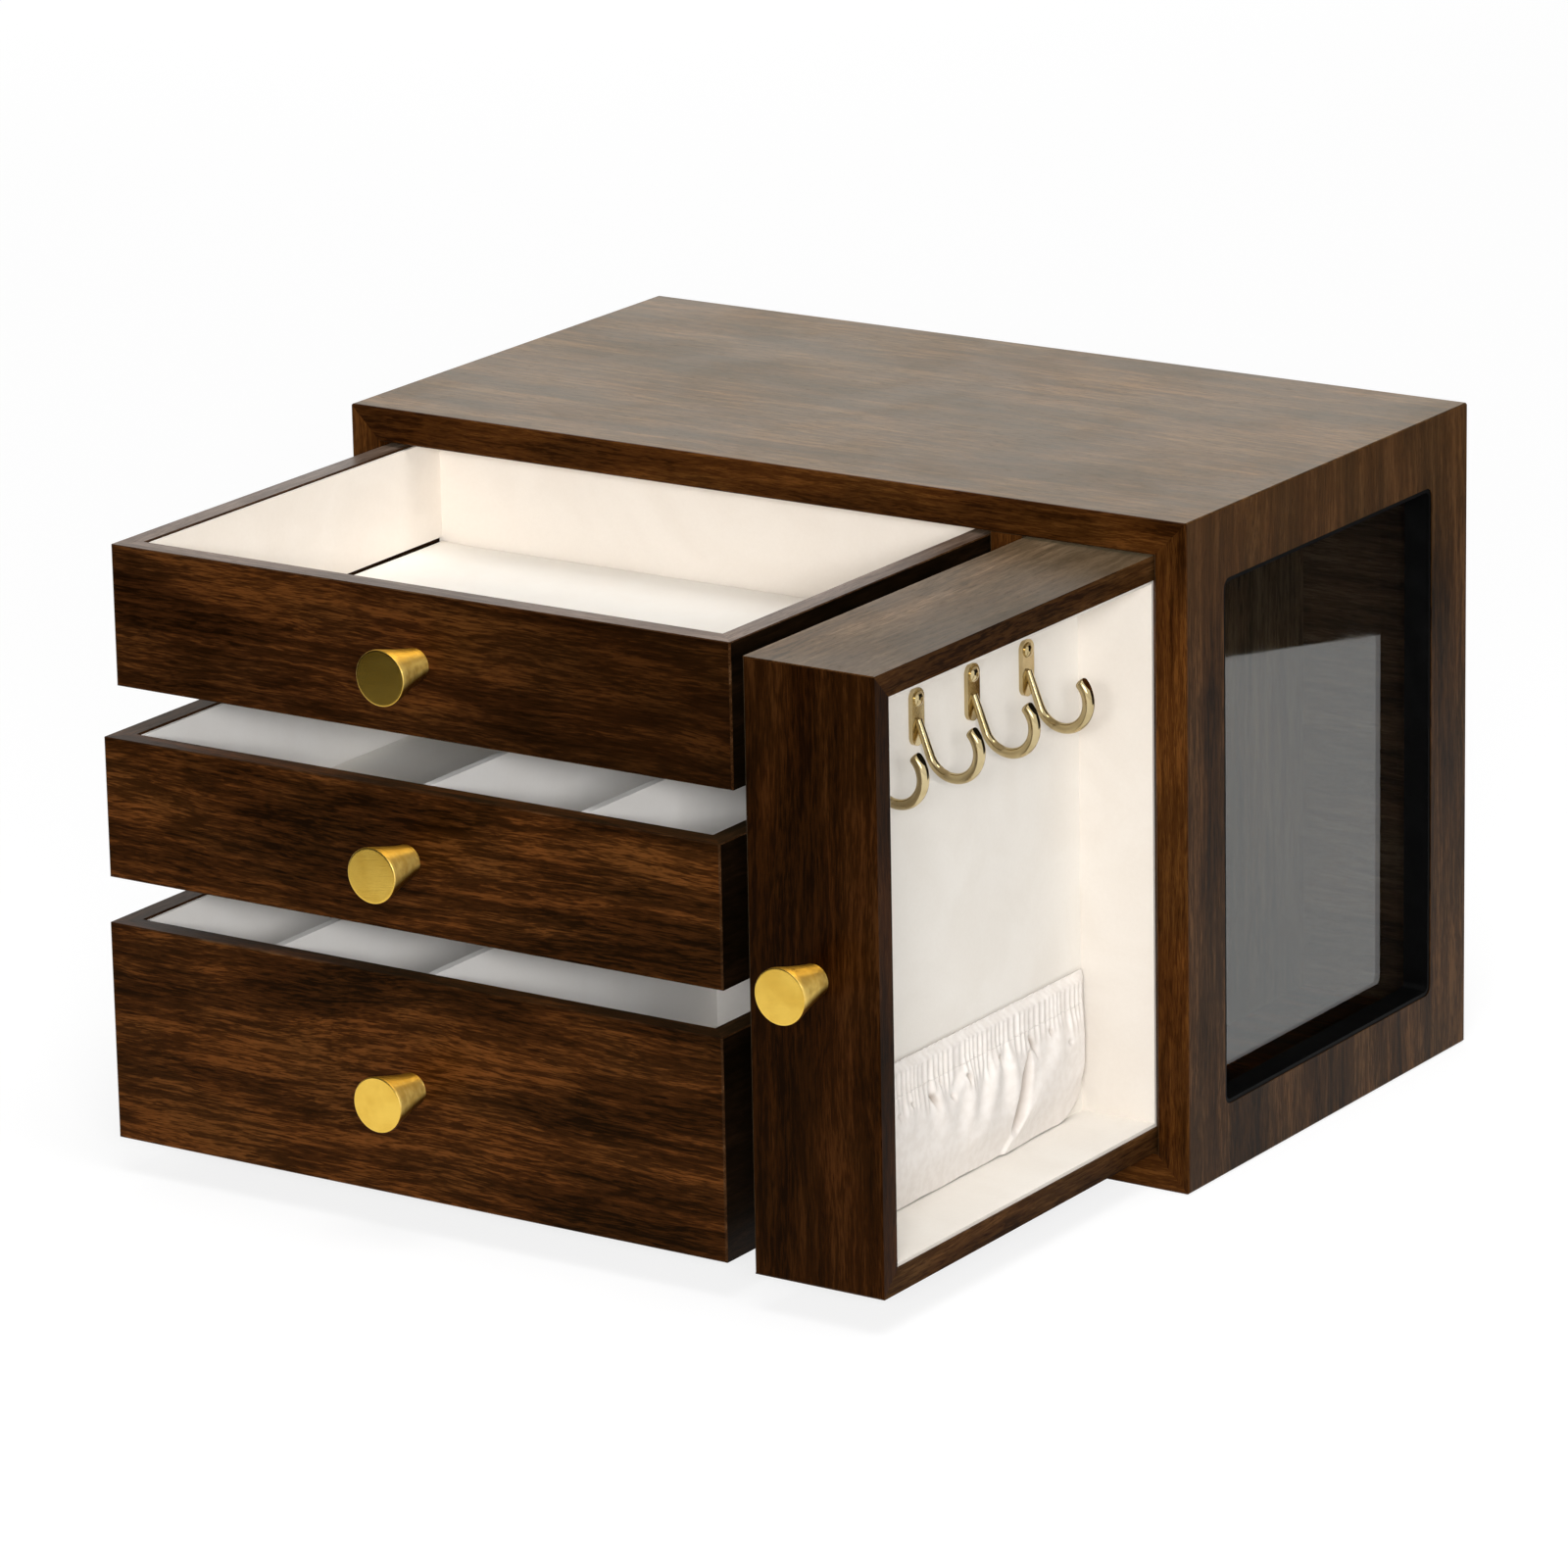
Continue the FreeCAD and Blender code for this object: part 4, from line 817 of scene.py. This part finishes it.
@dataclass
class NecklacePocket:
    """Gathered pocket on the tray's back lining, with an elastic band of fine ruffles.

    Places on it are a share across, from the front, and a share up. folds holds (across at the
    gathers, lean, width, depth, lowest share up), pinches holds (across, up, depth), fullness
    holds a flat sheet's size over the gathered one, across and up, and lip_at the shares up where
    the plain lip starts and is full. Depths are in mm.
    """

    finishes: Finishes
    body: str = "necklace_tray"
    backing: str = "necklace_tray_back_lining"
    ruffles: int = 54
    columns: int = 460
    thickness: float = 0.35 * MM
    least_depth: float = 0.37 * MM
    band_proud: float = 0.8 * MM
    corner_radius: float = 15.0 * MM
    cloth_fullness: tuple[float, float] = (1.3, 1.08)
    band_fullness: tuple[float, float] = (1.25, 1.15)
    lip_at: tuple[float, float] = (0.90, 0.955)
    seam_depth: float = 0.9
    belly_depth: float = 2.1
    hollow_depth: float = 2.6
    pinch_depth: float = 1.8
    ruffle_depth: float = 0.70
    turned_in: float = 1.2
    folds: tuple[tuple[float, ...], ...] = (
        (0.08, 0.00, 0.016, 0.6, 0.35), (0.16, -0.02, 0.014, 0.7, 0.42),
        (0.24, 0.00, 0.020, 0.8, 0.35), (0.30, -0.02, 0.016, 0.8, 0.40),
        (0.34, 0.02, 0.014, 0.6, 0.45), (0.395, 0.05, 0.016, 1.0, 0.28),
        (0.505, -0.06, 0.015, 0.9, 0.38), (0.52, 0.02, 0.018, 1.1, 0.10),
        (0.63, -0.07, 0.018, 1.1, 0.08), (0.685, 0.02, 0.014, 1.2, 0.15),
        (0.88, -0.02, 0.020, 0.7, 0.30), (0.93, 0.01, 0.015, 0.6, 0.35))
    pinches: tuple[tuple[float, ...], ...] = (
        (0.25, 0.66, 0.8), (0.30, 0.70, 0.8), (0.385, 0.66, 1.7), (0.415, 0.74, 0.9),
        (0.459, 0.61, 0.9), (0.513, 0.70, 1.2), (0.645, 0.69, 1.7), (0.772, 0.69, 2.4),
        (0.85, 0.70, 1.1), (0.915, 0.57, 0.8))

    def __post_init__(self) -> None:
        """Take the places of the two CAD nodes."""
        self.low, self.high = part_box("necklace_pocket_cloth")
        self.band_low, self.band_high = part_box("necklace_pocket_band")

    def build(self) -> None:
        """Model the cloth and the band."""
        self.build_cloth()
        self.build_band()

    def sheet_mesh(self, rows: int, place: Callable[[float, float], tuple[Vector, float]],
                   flat: tuple[float, float]) -> Mesh:
        """Grid whose points are laid out by a function of their share across and up.

        Args:
            rows: cells up.
            place: share across and share up to the point's place and its painted fold shade.
            flat: the cloth's flat size, which its UV map is drawn at.

        Returns:
            The mesh.
        """
        mesh = grid(self.columns, rows)
        uv = mesh.loops.layers.uv.new("cloth")
        for face in mesh.faces:
            for loop in face.loops:
                loop[uv].uv = ((loop.vert.co.x + 0.5) * flat[0], (loop.vert.co.y + 0.5) * flat[1])
        # A per-point attribute of painted shade, darkest in the folds.
        fold_shade = mesh.verts.layers.float.new("fold_shade")
        for vert in mesh.verts:
            vert.co, vert[fold_shade] = place(vert.co.x + 0.5, vert.co.y + 0.5)
        bmesh.ops.recalc_face_normals(mesh, faces=mesh.faces)
        if sum(face.normal.x for face in mesh.faces) < 0:
            bmesh.ops.reverse_faces(mesh, faces=mesh.faces)
        return mesh

    def ruffle(self, across: float) -> float:
        """Depth of the fine ruffles, from 0 to 1, unevenly spaced and filled.

        Args:
            across: share of the width.

        Returns:
            The depth.
        """
        uneven = across + 0.006 * math.sin(across * 21.0) + 0.003 * math.sin(across * 57.0 + 1.0)
        fullness = 0.65 + 0.35 * math.sin(across * 67.0 + 0.5) * math.sin(across * 23.0)
        return fullness * (0.5 + 0.5 * math.cos(uneven * self.ruffles * math.tau)) ** 1.3

    def soft_folds(self, across: float, up: float) -> float:
        """The folds that run down from the gathers.

        Args:
            across: share of the width.
            up: share of the height.

        Returns:
            Their depth in mm.
        """
        depth, gathers = 0.0, 0.72
        for start, lean, width, height, lowest in self.folds:
            down = clamp((gathers - up) / (gathers - lowest))
            reach = (across - start - lean * down) / (width * (1.0 + 1.3 * down))
            fade = smooth_step(up, lowest, lowest + 0.35) * (1.0 - smooth_step(up, 0.66, 0.84))
            depth += height * fade * (math.exp(-reach ** 2) - 0.55 * math.exp(-(reach + 1.5) ** 2))
        return depth

    def deep_hollow(self, across: float, up: float) -> tuple[float, float]:
        """The one deep diagonal fold.

        Args:
            across: share of the width.
            up: share of the height.

        Returns:
            Height in mm of its crisp ridge, and share of the hollow in front of the ridge.
        """
        past = across - 0.665 - 0.36 * min(up, 0.55)
        ridge = 0.8 * math.exp(-(past / (0.070 if past > 0 else 0.008 + 0.05 * up)) ** 2)
        ridge *= 1.0 - smooth_step(up, 0.40, 0.72)
        width = 0.005 + 0.018 * math.sin(math.pi * clamp((up - 0.08) / 0.56))
        hollow = math.exp(-((across - 0.690 - 0.11 * up) / width) ** 4)
        hollow *= smooth_step(up, 0.08, 0.2) * (1.0 - smooth_step(up, 0.58, 0.66))
        return ridge, hollow

    def pinched(self, across: float, up: float) -> float:
        """The small hollows where the ruffles end.

        Args:
            across: share of the width.
            up: share of the height.

        Returns:
            How full of them a point is, from 0.
        """
        share = 0.0
        for place, level, most in self.pinches:
            beside = (across - place + 0.16 * (up - level)) / 0.006
            below = (up - level) / (0.034 * most if up < level else 0.016 * most)
            share += min(most / 1.7, 1.0) * math.exp(-beside ** 2 - below ** 2)
        return share

    def gathered(self, across: float, up: float) -> float:
        """1 in the ruffled band, 0 below its ragged lower edge."""
        ragged = 0.69 + 0.045 * math.sin(across * 31.0) + 0.03 * math.sin(across * 77.0 + 2.0)
        return smooth_step(up, ragged - 0.09, ragged + 0.05)

    def share_up(self, level: float) -> float:
        """Share of the whole pocket's height at a height above its bottom."""
        return clamp(level / (self.band_high.z - self.low.z))

    def fold_shade(self, across: float, level: float) -> float:
        """How deep in a fold a point lies, as painted shade in the cloth's colour.

        Args:
            across: share of the width.
            level: height above the bottom seam.

        Returns:
            The share of painted fold shade, from 0 to 1.
        """
        up = self.share_up(level)
        between = self.gathered(across, up) * (1.0 - smooth_step(up, *self.lip_at))
        valley = 0.20 * between * (1.0 - self.ruffle(across)) ** 3
        hollow = 0.75 * self.deep_hollow(across, up)[1]
        return clamp(valley + hollow + 0.9 * self.pinched(across, up))

    def surface(self, across: float, level: float) -> float:
        """Depth of the whole pocket.

        Args:
            across: share of the width, from the front.
            level: height above the bottom seam.

        Returns:
            Distance from the pocket's own back.
        """
        up = self.share_up(level)
        lip = smooth_step(up, *self.lip_at)
        belly = smooth_step(up, 0.0, 0.30) * (1.0 - 0.55 * smooth_step(up, 0.50, 0.85))
        ridge, hollow = self.deep_hollow(across, up)
        depth = self.seam_depth + self.belly_depth * belly + self.soft_folds(across, up) + ridge
        depth -= self.hollow_depth * hollow + self.pinch_depth * self.pinched(across, up)
        ruffled = self.gathered(across, up) * (1.0 - 0.9 * lip) * (self.ruffle(across) - 0.35)
        depth += self.ruffle_depth * ruffled - self.turned_in * smooth_step(up, 0.93, 1.0)
        ends = smooth_step(min(across, 1.0 - across), 0.0, 0.03)
        flat = 1.0 - 0.75 * smooth_step(up, 0.94, 1.0)
        return MM * (0.38 + max(depth, 0.0) * (0.25 + 0.75 * ends) * flat)

    def spot(self, low: Vector, high: Vector, across: float, rise: float, level: float,
             proud: float = 0.0) -> tuple[Vector, float]:
        """Place of a point of a sheet, and its painted fold shade.

        Args:
            low: the lowest corner of the sheet's CAD node.
            high: its highest corner.
            across: share of the width, which ends a cloth's thickness in from the corners.
            rise: height above low.
            level: height above the whole pocket's bottom, where the surface is measured.
            proud: how far it may stand past high.

        Returns:
            The place and the painted fold shade.
        """
        reach = clamp(self.surface(across, level), self.least_depth, high.x - low.x + proud)
        y = low.y + self.thickness + (high.y - low.y - 2 * self.thickness) * across
        return Vector((self.low.x + reach, y, low.z + rise)), self.fold_shade(across, level)

    def build_cloth(self) -> Piece:
        """Model the cloth below the band: ruffles that fan out into folds, sewn down at the bottom.

        Returns:
            The cloth.
        """
        low, high = self.low, self.high
        height = high.z - low.z

        def place(across: float, up: float) -> tuple[Vector, float]:
            """Place of a point of the cloth, and its painted fold shade."""
            corner = self.corner_lift(across)
            seam = 1.0 - smooth_step(up, 0.0, 0.2)
            rise = corner + (height - corner) * up
            rise += 0.12 * MM * seam * (1.0 + math.sin(across * 40.0))
            level = max(rise - corner * (1.0 - up), 0.0)
            return self.spot(low, high, across, rise, level)

        return self.build_sheet("pocket_cloth", low, high, 70, place,
                                self.cloth_fullness)

    def corner_lift(self, across: float) -> float:
        """How far the rounded lower rear corner lifts the bottom edge."""
        into = max(self.corner_radius - (1.0 - across) * (self.high.y - self.low.y), 0.0)
        return self.corner_radius - math.sqrt(self.corner_radius ** 2 - into ** 2)

    def build_band(self) -> Piece:
        """Model the elastic band: fine upright ruffles, with a plain lip on top.

        Returns:
            The band.
        """
        low, high = self.band_low, self.band_high
        height = high.z - low.z

        def place(across: float, up: float) -> tuple[Vector, float]:
            """Place of a point of the band, and its painted fold shade."""
            level = low.z - self.low.z + height * up
            lip = smooth_step(up, 0.75, 1.0)
            rise = height * up - 0.25 * MM * lip * (1.0 - self.ruffle(across + 0.004))
            return self.spot(low, high, across, rise, level, self.band_proud)

        return self.build_sheet("pocket_band", low, high, 26, place,
                                self.band_fullness)

    def build_sheet(self, name: str, low: Vector, high: Vector, rows: int,
                    place: Callable[[float, float], tuple[Vector, float]],
                    fullness: tuple[float, float]) -> Piece:
        """Model one of the two sheets, with its thickness behind its face.

        Args:
            name: the piece's name, which the CAD node has after the word necklace.
            low: the CAD node's lowest corner.
            high: its highest corner.
            rows: cells up.
            place: share across and share up to the point's place and painted fold shade.
            fullness: flat size over the gathered one, across and up.

        Returns:
            The sheet.
        """
        flat = ((high.y - low.y) * fullness[0], (high.z - low.z) * fullness[1])
        sheet = new_piece(name, self.sheet_mesh(rows, place, flat), self.body,
                          self.finishes.of(POCKET_CLOTH))
        wall = sheet.modifiers.new("cloth_thickness", "SOLIDIFY")
        wall.thickness = self.thickness
        wall.offset = -1.0
        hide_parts(f"necklace_{name}")
        return sheet


# Turned brass

@dataclass
class Knob:
    """Turned brass knob on a front: a narrow neck that flares to a flat face."""

    body: str
    finishes: Finishes
    steps: int = 96
    rim: float = 0.3 * MM
    rim_steps: int = 6
    shoulder: float = 0.9 * MM
    neck: float = 4.7 * MM
    flare: float = 1.22
    flare_steps: int = 18
    bore: float = 2.0 * MM
    bore_depth: float = 9.0 * MM
    split_angle: float = math.radians(38)

    def build(self) -> Piece:
        """Spin the knob's profile about its axis.

        Returns:
            The knob.
        """
        node = f"{self.body}_knob"
        low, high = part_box(node)
        centre = (low + high) / 2
        mesh = bmesh.new()
        points = [mesh.verts.new((centre.x + reach, depth, centre.z))
                  for reach, depth in self.profile((high.x - low.x) / 2, low.y, high.y)]
        edges = [mesh.edges.new(pair) for pair in zip(points, points[1:])]
        bmesh.ops.spin(mesh, geom=points + edges, cent=centre, axis=(0.0, 1.0, 0.0),
                       angle=math.tau, steps=self.steps, use_merge=True)
        bmesh.ops.remove_doubles(mesh, verts=mesh.verts, dist=1e-6)
        bmesh.ops.recalc_face_normals(mesh, faces=mesh.faces)
        knob = new_piece(f"{self.body}_turned_knob", mesh, self.body,
                         self.finishes.of(BRASS))
        knob.data.materials.append(self.finishes.of(TURNED_BRASS))
        for part in knob.data.polygons:
            part.material_index = 0 if abs(part.normal.y) > 0.9 else 1
        crisp = knob.modifiers.new("crisp_edges", "EDGE_SPLIT")
        crisp.split_angle = self.split_angle
        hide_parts(node)
        return knob

    def profile(self, radius: float, face: float, root: float) -> list[tuple[float, float]]:
        """Half outline from the middle of the face to the root and its bore.

        Args:
            radius: the face's radius.
            face: where the face is, along Y.
            root: where the knob meets the board.

        Returns:
            (distance from the axis, Y) pairs.
        """
        points = [(0.0, face), (radius * 0.5, face), (radius - 0.7 * MM, face),
                  (radius - self.rim, face)]
        for step in range(1, self.rim_steps + 1):
            turn = math.radians(90 * step / self.rim_steps)
            points.append((radius - self.rim * (1.0 - math.sin(turn)),
                           face + self.rim * (1.0 - math.cos(turn))))
        points.append((radius, face + self.shoulder))
        for step in range(1, self.flare_steps + 1):
            share = step / self.flare_steps
            points.append((self.neck + (radius - self.neck) * (1.0 - share) ** self.flare,
                           face + self.shoulder + (root - face - self.shoulder) * share))
        points += [(self.bore, root), (self.bore, root - self.bore_depth),
                   (0.0, root - self.bore_depth)]
        return points


# Sub-assemblies

@dataclass
class Case:
    """The veneered case with its glazed side."""

    finishes: Finishes
    boards: dict[str, Finish] = field(default_factory=lambda: {
        "case_top": VENEER_TOP,
        "case_bottom": VENEER_ACROSS,
        "case_left_side": VENEER_UPRIGHT,
        "case_right_side": VENEER_WINDOW_SIDE,
        "case_back": BACK_BOARD,
        "centre_divider": VENEER_DIVIDER,
        "upper_shelf": VENEER_DEEP,
        "lower_shelf": VENEER_DEEP,
        "divider_edging": EDGING_UPRIGHT,
        "shelf_edging": EDGING_ACROSS,
        "window_frame": BLACK_PLASTIC,
        "window_pane": GLASS,
    })

    def build(self) -> None:
        """Dress the panels, the edging, the window frame and the pane."""
        for node, finish in self.boards.items():
            dress(node, self.finishes.of(finish))
        self.dress_front_edging()

    def dress_front_edging(self) -> None:
        """Two finishes on the edging, so that the grain follows each strip."""
        low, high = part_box("front_edging")
        mesh = dress("front_edging", self.finishes.of(EDGING_ACROSS),
                     self.finishes.of(EDGING_UPRIGHT))
        for face in mesh.polygons:
            spot = face.center
            side = min(spot.x - low.x, high.x - spot.x)
            level = min(spot.z - low.z, high.z - spot.z)
            face.material_index = 1 if side < level else 0


@dataclass
class Drawer:
    """One lined drawer with its pad and knob."""

    name: str
    finishes: Finishes
    partitions: bool = True
    front: Veneer = VENEER_ACROSS
    lining: Velvet = DRAWER_LINING
    rims: tuple[Veneer, Veneer] = (VENEER_ACROSS, VENEER_DEEP)
    pad_gap: tuple[float, float] = (0.1 * MM, 0.1 * MM)
    pad_rear_gap: float = 0.0
    pad_rise: float = 0.0

    def build(self) -> None:
        """Dress the boards and model the pad and the knob."""
        across, deep = self.rims
        boards = {"front": (self.front, across), "back": (VENEER_ACROSS, across),
                  # The right side's walnut is painted shade.
                  "left_side": (VENEER_DEEP, deep), "right_side": (VENEER_SHADED_DRAWER_SIDE, deep),
                  "base": (HIDDEN_BOARD, HIDDEN_BOARD)}
        for part, (veneer, rim) in boards.items():
            dress_board(f"{self.name}_{part}", self.finishes.of(veneer),
                        self.finishes.of(ARRIS_WALNUT), self.finishes.of(rim))
        dress(f"{self.name}_lining", self.finishes.of(self.lining))
        if self.partitions:
            dress(f"{self.name}_partitions", self.finishes.of(DRAWER_LINING))
        dress(f"{self.name}_knob_screw", self.finishes.of(STEEL))
        FloorPad(self.name, self.finishes, shrink_left=self.pad_gap,
                 shrink_rear=self.pad_rear_gap, rise_left=self.pad_rise).build()
        Knob(self.name, self.finishes).build()


@dataclass
class NecklaceTray:
    """The tray that slides out beside the drawers, with its hooks and pocket."""

    finishes: Finishes
    hooks: int = 4

    def build(self) -> None:
        """Dress the boards, linings and hooks, and model the pocket and the knob."""
        boards = {"front": VENEER_TRAY_FRONT, "rear": VENEER_UPRIGHT, "top": VENEER_TRAY_RAIL,
                  "bottom": VENEER_TRAY_RAIL, "outer_side": VENEER_DEEP,
                  "hook_board": HIDDEN_BOARD}
        for part, veneer in boards.items():
            finish = self.finishes.of(veneer)
            # The top board's upward face takes the painted-light walnut.
            upper = self.finishes.of(VENEER_LIT_TRAY_TOP) if part == "top" else finish
            dress_board(f"necklace_tray_{part}", finish, finish, upper)
        velvet, shaded_wall_velvet = (self.finishes.of(cloth) for cloth in (TRAY_LINING, SHADED_WALL_LINING))
        dress("necklace_tray_back_lining", velvet)
        # The wall lining's side and edge faces get the painted-shade velvet.
        dress_board("necklace_tray_wall_lining", shaded_wall_velvet, shaded_wall_velvet, velvet)
        hooks = [f"necklace_hook_{number}" for number in range(1, self.hooks + 1)]
        for node in (*hooks, "necklace_hook_screws"):
            dress(node, self.finishes.of(HOOK_METAL))
        dress("necklace_tray_knob_screw", self.finishes.of(STEEL))
        NecklacePocket(self.finishes).build()
        Knob("necklace_tray", self.finishes).build()


# Studio

def aimed(place: Sequence[float], towards: Sequence[float], axis: str) -> Matrix:
    """Matrix that moves to a place and turns an axis towards a point."""
    turn = (Vector(towards) - Vector(place)).to_track_quat(axis, "Y")
    return Matrix.Translation(place) @ turn.to_matrix().to_4x4()


@dataclass
class Studio:
    """Pale floor, soft light and the camera."""

    finishes: Finishes
    azimuth: float = 33.800
    elevation: float = 16.474
    roll: float = -1.124
    distance: float = 2.29319
    target: tuple[float, float, float] = (0.00784, -0.0785, 0.09931)
    lens: float = 186.62
    sensor: float = 36.0
    ambient: float = 0.15
    floor_reach: float = 7.0
    floor_drop: float = 0.2 * MM
    strip_place: tuple[float, float, float] = (1.30, -2.0, 0.80)
    strip_aim: tuple[float, float, float] = (0.0, -0.08, 0.1)

    def build(self) -> None:
        """Set up the view, the floor, the lamps and the camera."""
        scene = bpy.context.scene
        scene.view_settings.view_transform = "Standard"
        self.build_world(scene)
        self.build_floor()
        self.build_lamps()
        self.build_flags()
        self.build_camera(scene)

    def build_world(self, scene: bpy.types.Scene) -> None:
        """Plain light from all round, and white where a camera, gloss or glass looks.

        Args:
            scene: the scene that it lights.
        """
        world = bpy.data.worlds.new("studio")
        scene.world = world
        world.use_nodes = True
        world.node_tree.nodes.clear()
        tree = Tree(world.node_tree)
        strength = tree.plus(tree.times(tree.seen(), 1.0 - self.ambient), self.ambient)
        light = tree.add("ShaderNodeBackground", {"Color": WHITE, "Strength": strength})
        tree.add("ShaderNodeOutputWorld", {"Surface": light.outputs[0]})

    def build_floor(self) -> None:
        """Wide matt floor that the box stands on."""
        mesh = grid(1, 1, self.floor_reach)
        bmesh.ops.translate(mesh, vec=(0.0, 0.0, -self.floor_drop), verts=mesh.verts)
        as_object("floor", mesh, self.finishes.of(FloorPaper("floor_paper")))

    def build_lamps(self) -> None:
        """Soft lamps: a large one overhead, a low strip that reaches into the drawers, and a fill
        behind. Gloss sees a dimmer card in the strip's place."""
        self.lamp("overhead", (0.50, -0.40, 2.3), (0.0, -0.05, 0.1), (1.5, 1.5), 32.0)
        self.lamp("front_strip", self.strip_place, self.strip_aim, (1.1, 0.3), 48.0, False)
        self.lamp("rear_fill", (-1.6, 2.0, 1.1), (0.0, 0.0, 0.1), (1.2, 1.0), 16.0, False)
        self.card("strip_card", self.strip_place, self.strip_aim, (1.1, 0.5), 6.5)

    def build_flags(self) -> None:
        """Dark studio cards, out of view, that only gloss shows."""
        self.card("front_flag", (-0.234, -0.532, 0.45), (0.299, 0.265, 0.45), (0.9, 0.9))
        self.card("side_flag", (0.40, 0.395, 0.45), (-0.455, -0.125, 0.45), (0.9, 0.9),
                  in_glass=True)

    @staticmethod
    def lamp(name: str, place: tuple, towards: tuple, size: tuple, power: float,
             in_gloss: bool = True) -> None:
        """Add a rectangular area lamp that faces a point.

        Args:
            name: the lamp's name.
            place: where it is.
            towards: the point that it faces.
            size: its width and height.
            power: its power in watts.
            in_gloss: whether gloss shows it.
        """
        light = bpy.data.lights.new(name, "AREA")
        light.shape = "RECTANGLE"
        light.size, light.size_y = size
        light.energy = power
        item = bpy.data.objects.new(name, light)
        item.visible_glossy = in_gloss
        item.matrix_world = aimed(place, towards, "-Z")
        bpy.context.scene.collection.objects.link(item)

    def card(self, name: str, place: tuple, towards: tuple, size: tuple, glow: float = 0.0,
             in_glass: bool = False) -> None:
        """Add a dark or glowing card that only gloss sees.

        Args:
            name: the card's name.
            place: where it is.
            towards: the point that it faces.
            size: its width and height.
            glow: how brightly it glows.
            in_glass: whether the pane's inner face shows it too.
        """
        mesh = grid(1, 1)
        bmesh.ops.scale(mesh, vec=(*size, 1.0), verts=mesh.verts)
        bmesh.ops.transform(mesh, matrix=aimed(place, towards, "Z"), verts=mesh.verts)
        card = as_object(name, mesh, self.finishes.of(CardPaper(name + "_paper", glow)))
        card.visible_camera = False
        card.visible_diffuse = False
        card.visible_shadow = False
        card.visible_transmission = in_glass

    def build_camera(self, scene: bpy.types.Scene) -> None:
        """Camera at the picture's own viewing angle.

        Args:
            scene: the scene that it is for.
        """
        turn, rise, roll = (math.radians(angle) for angle in
                            (self.azimuth, self.elevation, self.roll))
        back = Vector((math.sin(turn) * math.cos(rise), -math.cos(turn) * math.cos(rise),
                       math.sin(rise)))
        right = (-back).cross(Vector((0.0, 0.0, 1.0))).normalized()
        above = right.cross(-back)
        across = math.cos(roll) * right + math.sin(roll) * above
        upward = math.cos(roll) * above - math.sin(roll) * right
        lens = bpy.data.cameras.new("camera")
        lens.lens = self.lens
        lens.sensor_width = self.sensor
        lens.clip_end = 60.0
        camera = bpy.data.objects.new("camera", lens)
        axes = Matrix((across, upward, back)).transposed().to_4x4()
        camera.matrix_world = Matrix.Translation(Vector(self.target) + self.distance * back) @ axes
        scene.collection.objects.link(camera)
        scene.camera = camera


def main() -> None:
    """Build the studio, then the box, piece by piece."""
    finishes = Finishes()
    Studio(finishes).build()
    Case(finishes).build()
    # The top drawer's wall tops take the painted-light walnut.
    Drawer("top_drawer", finishes, partitions=False, front=VENEER_HEART, lining=TOP_LINING,
           rims=(LIT_RIM_ACROSS, LIT_RIM_DEEP), pad_gap=(-0.32 * MM, -0.22 * MM),
           pad_rear_gap=0.4 * MM, pad_rise=0.75 * MM).build()
    Drawer("middle_drawer", finishes).build()
    Drawer("bottom_drawer", finishes).build()
    NecklaceTray(finishes).build()
    bpy.context.view_layer.update()


if __name__ == "__main__":
    main()
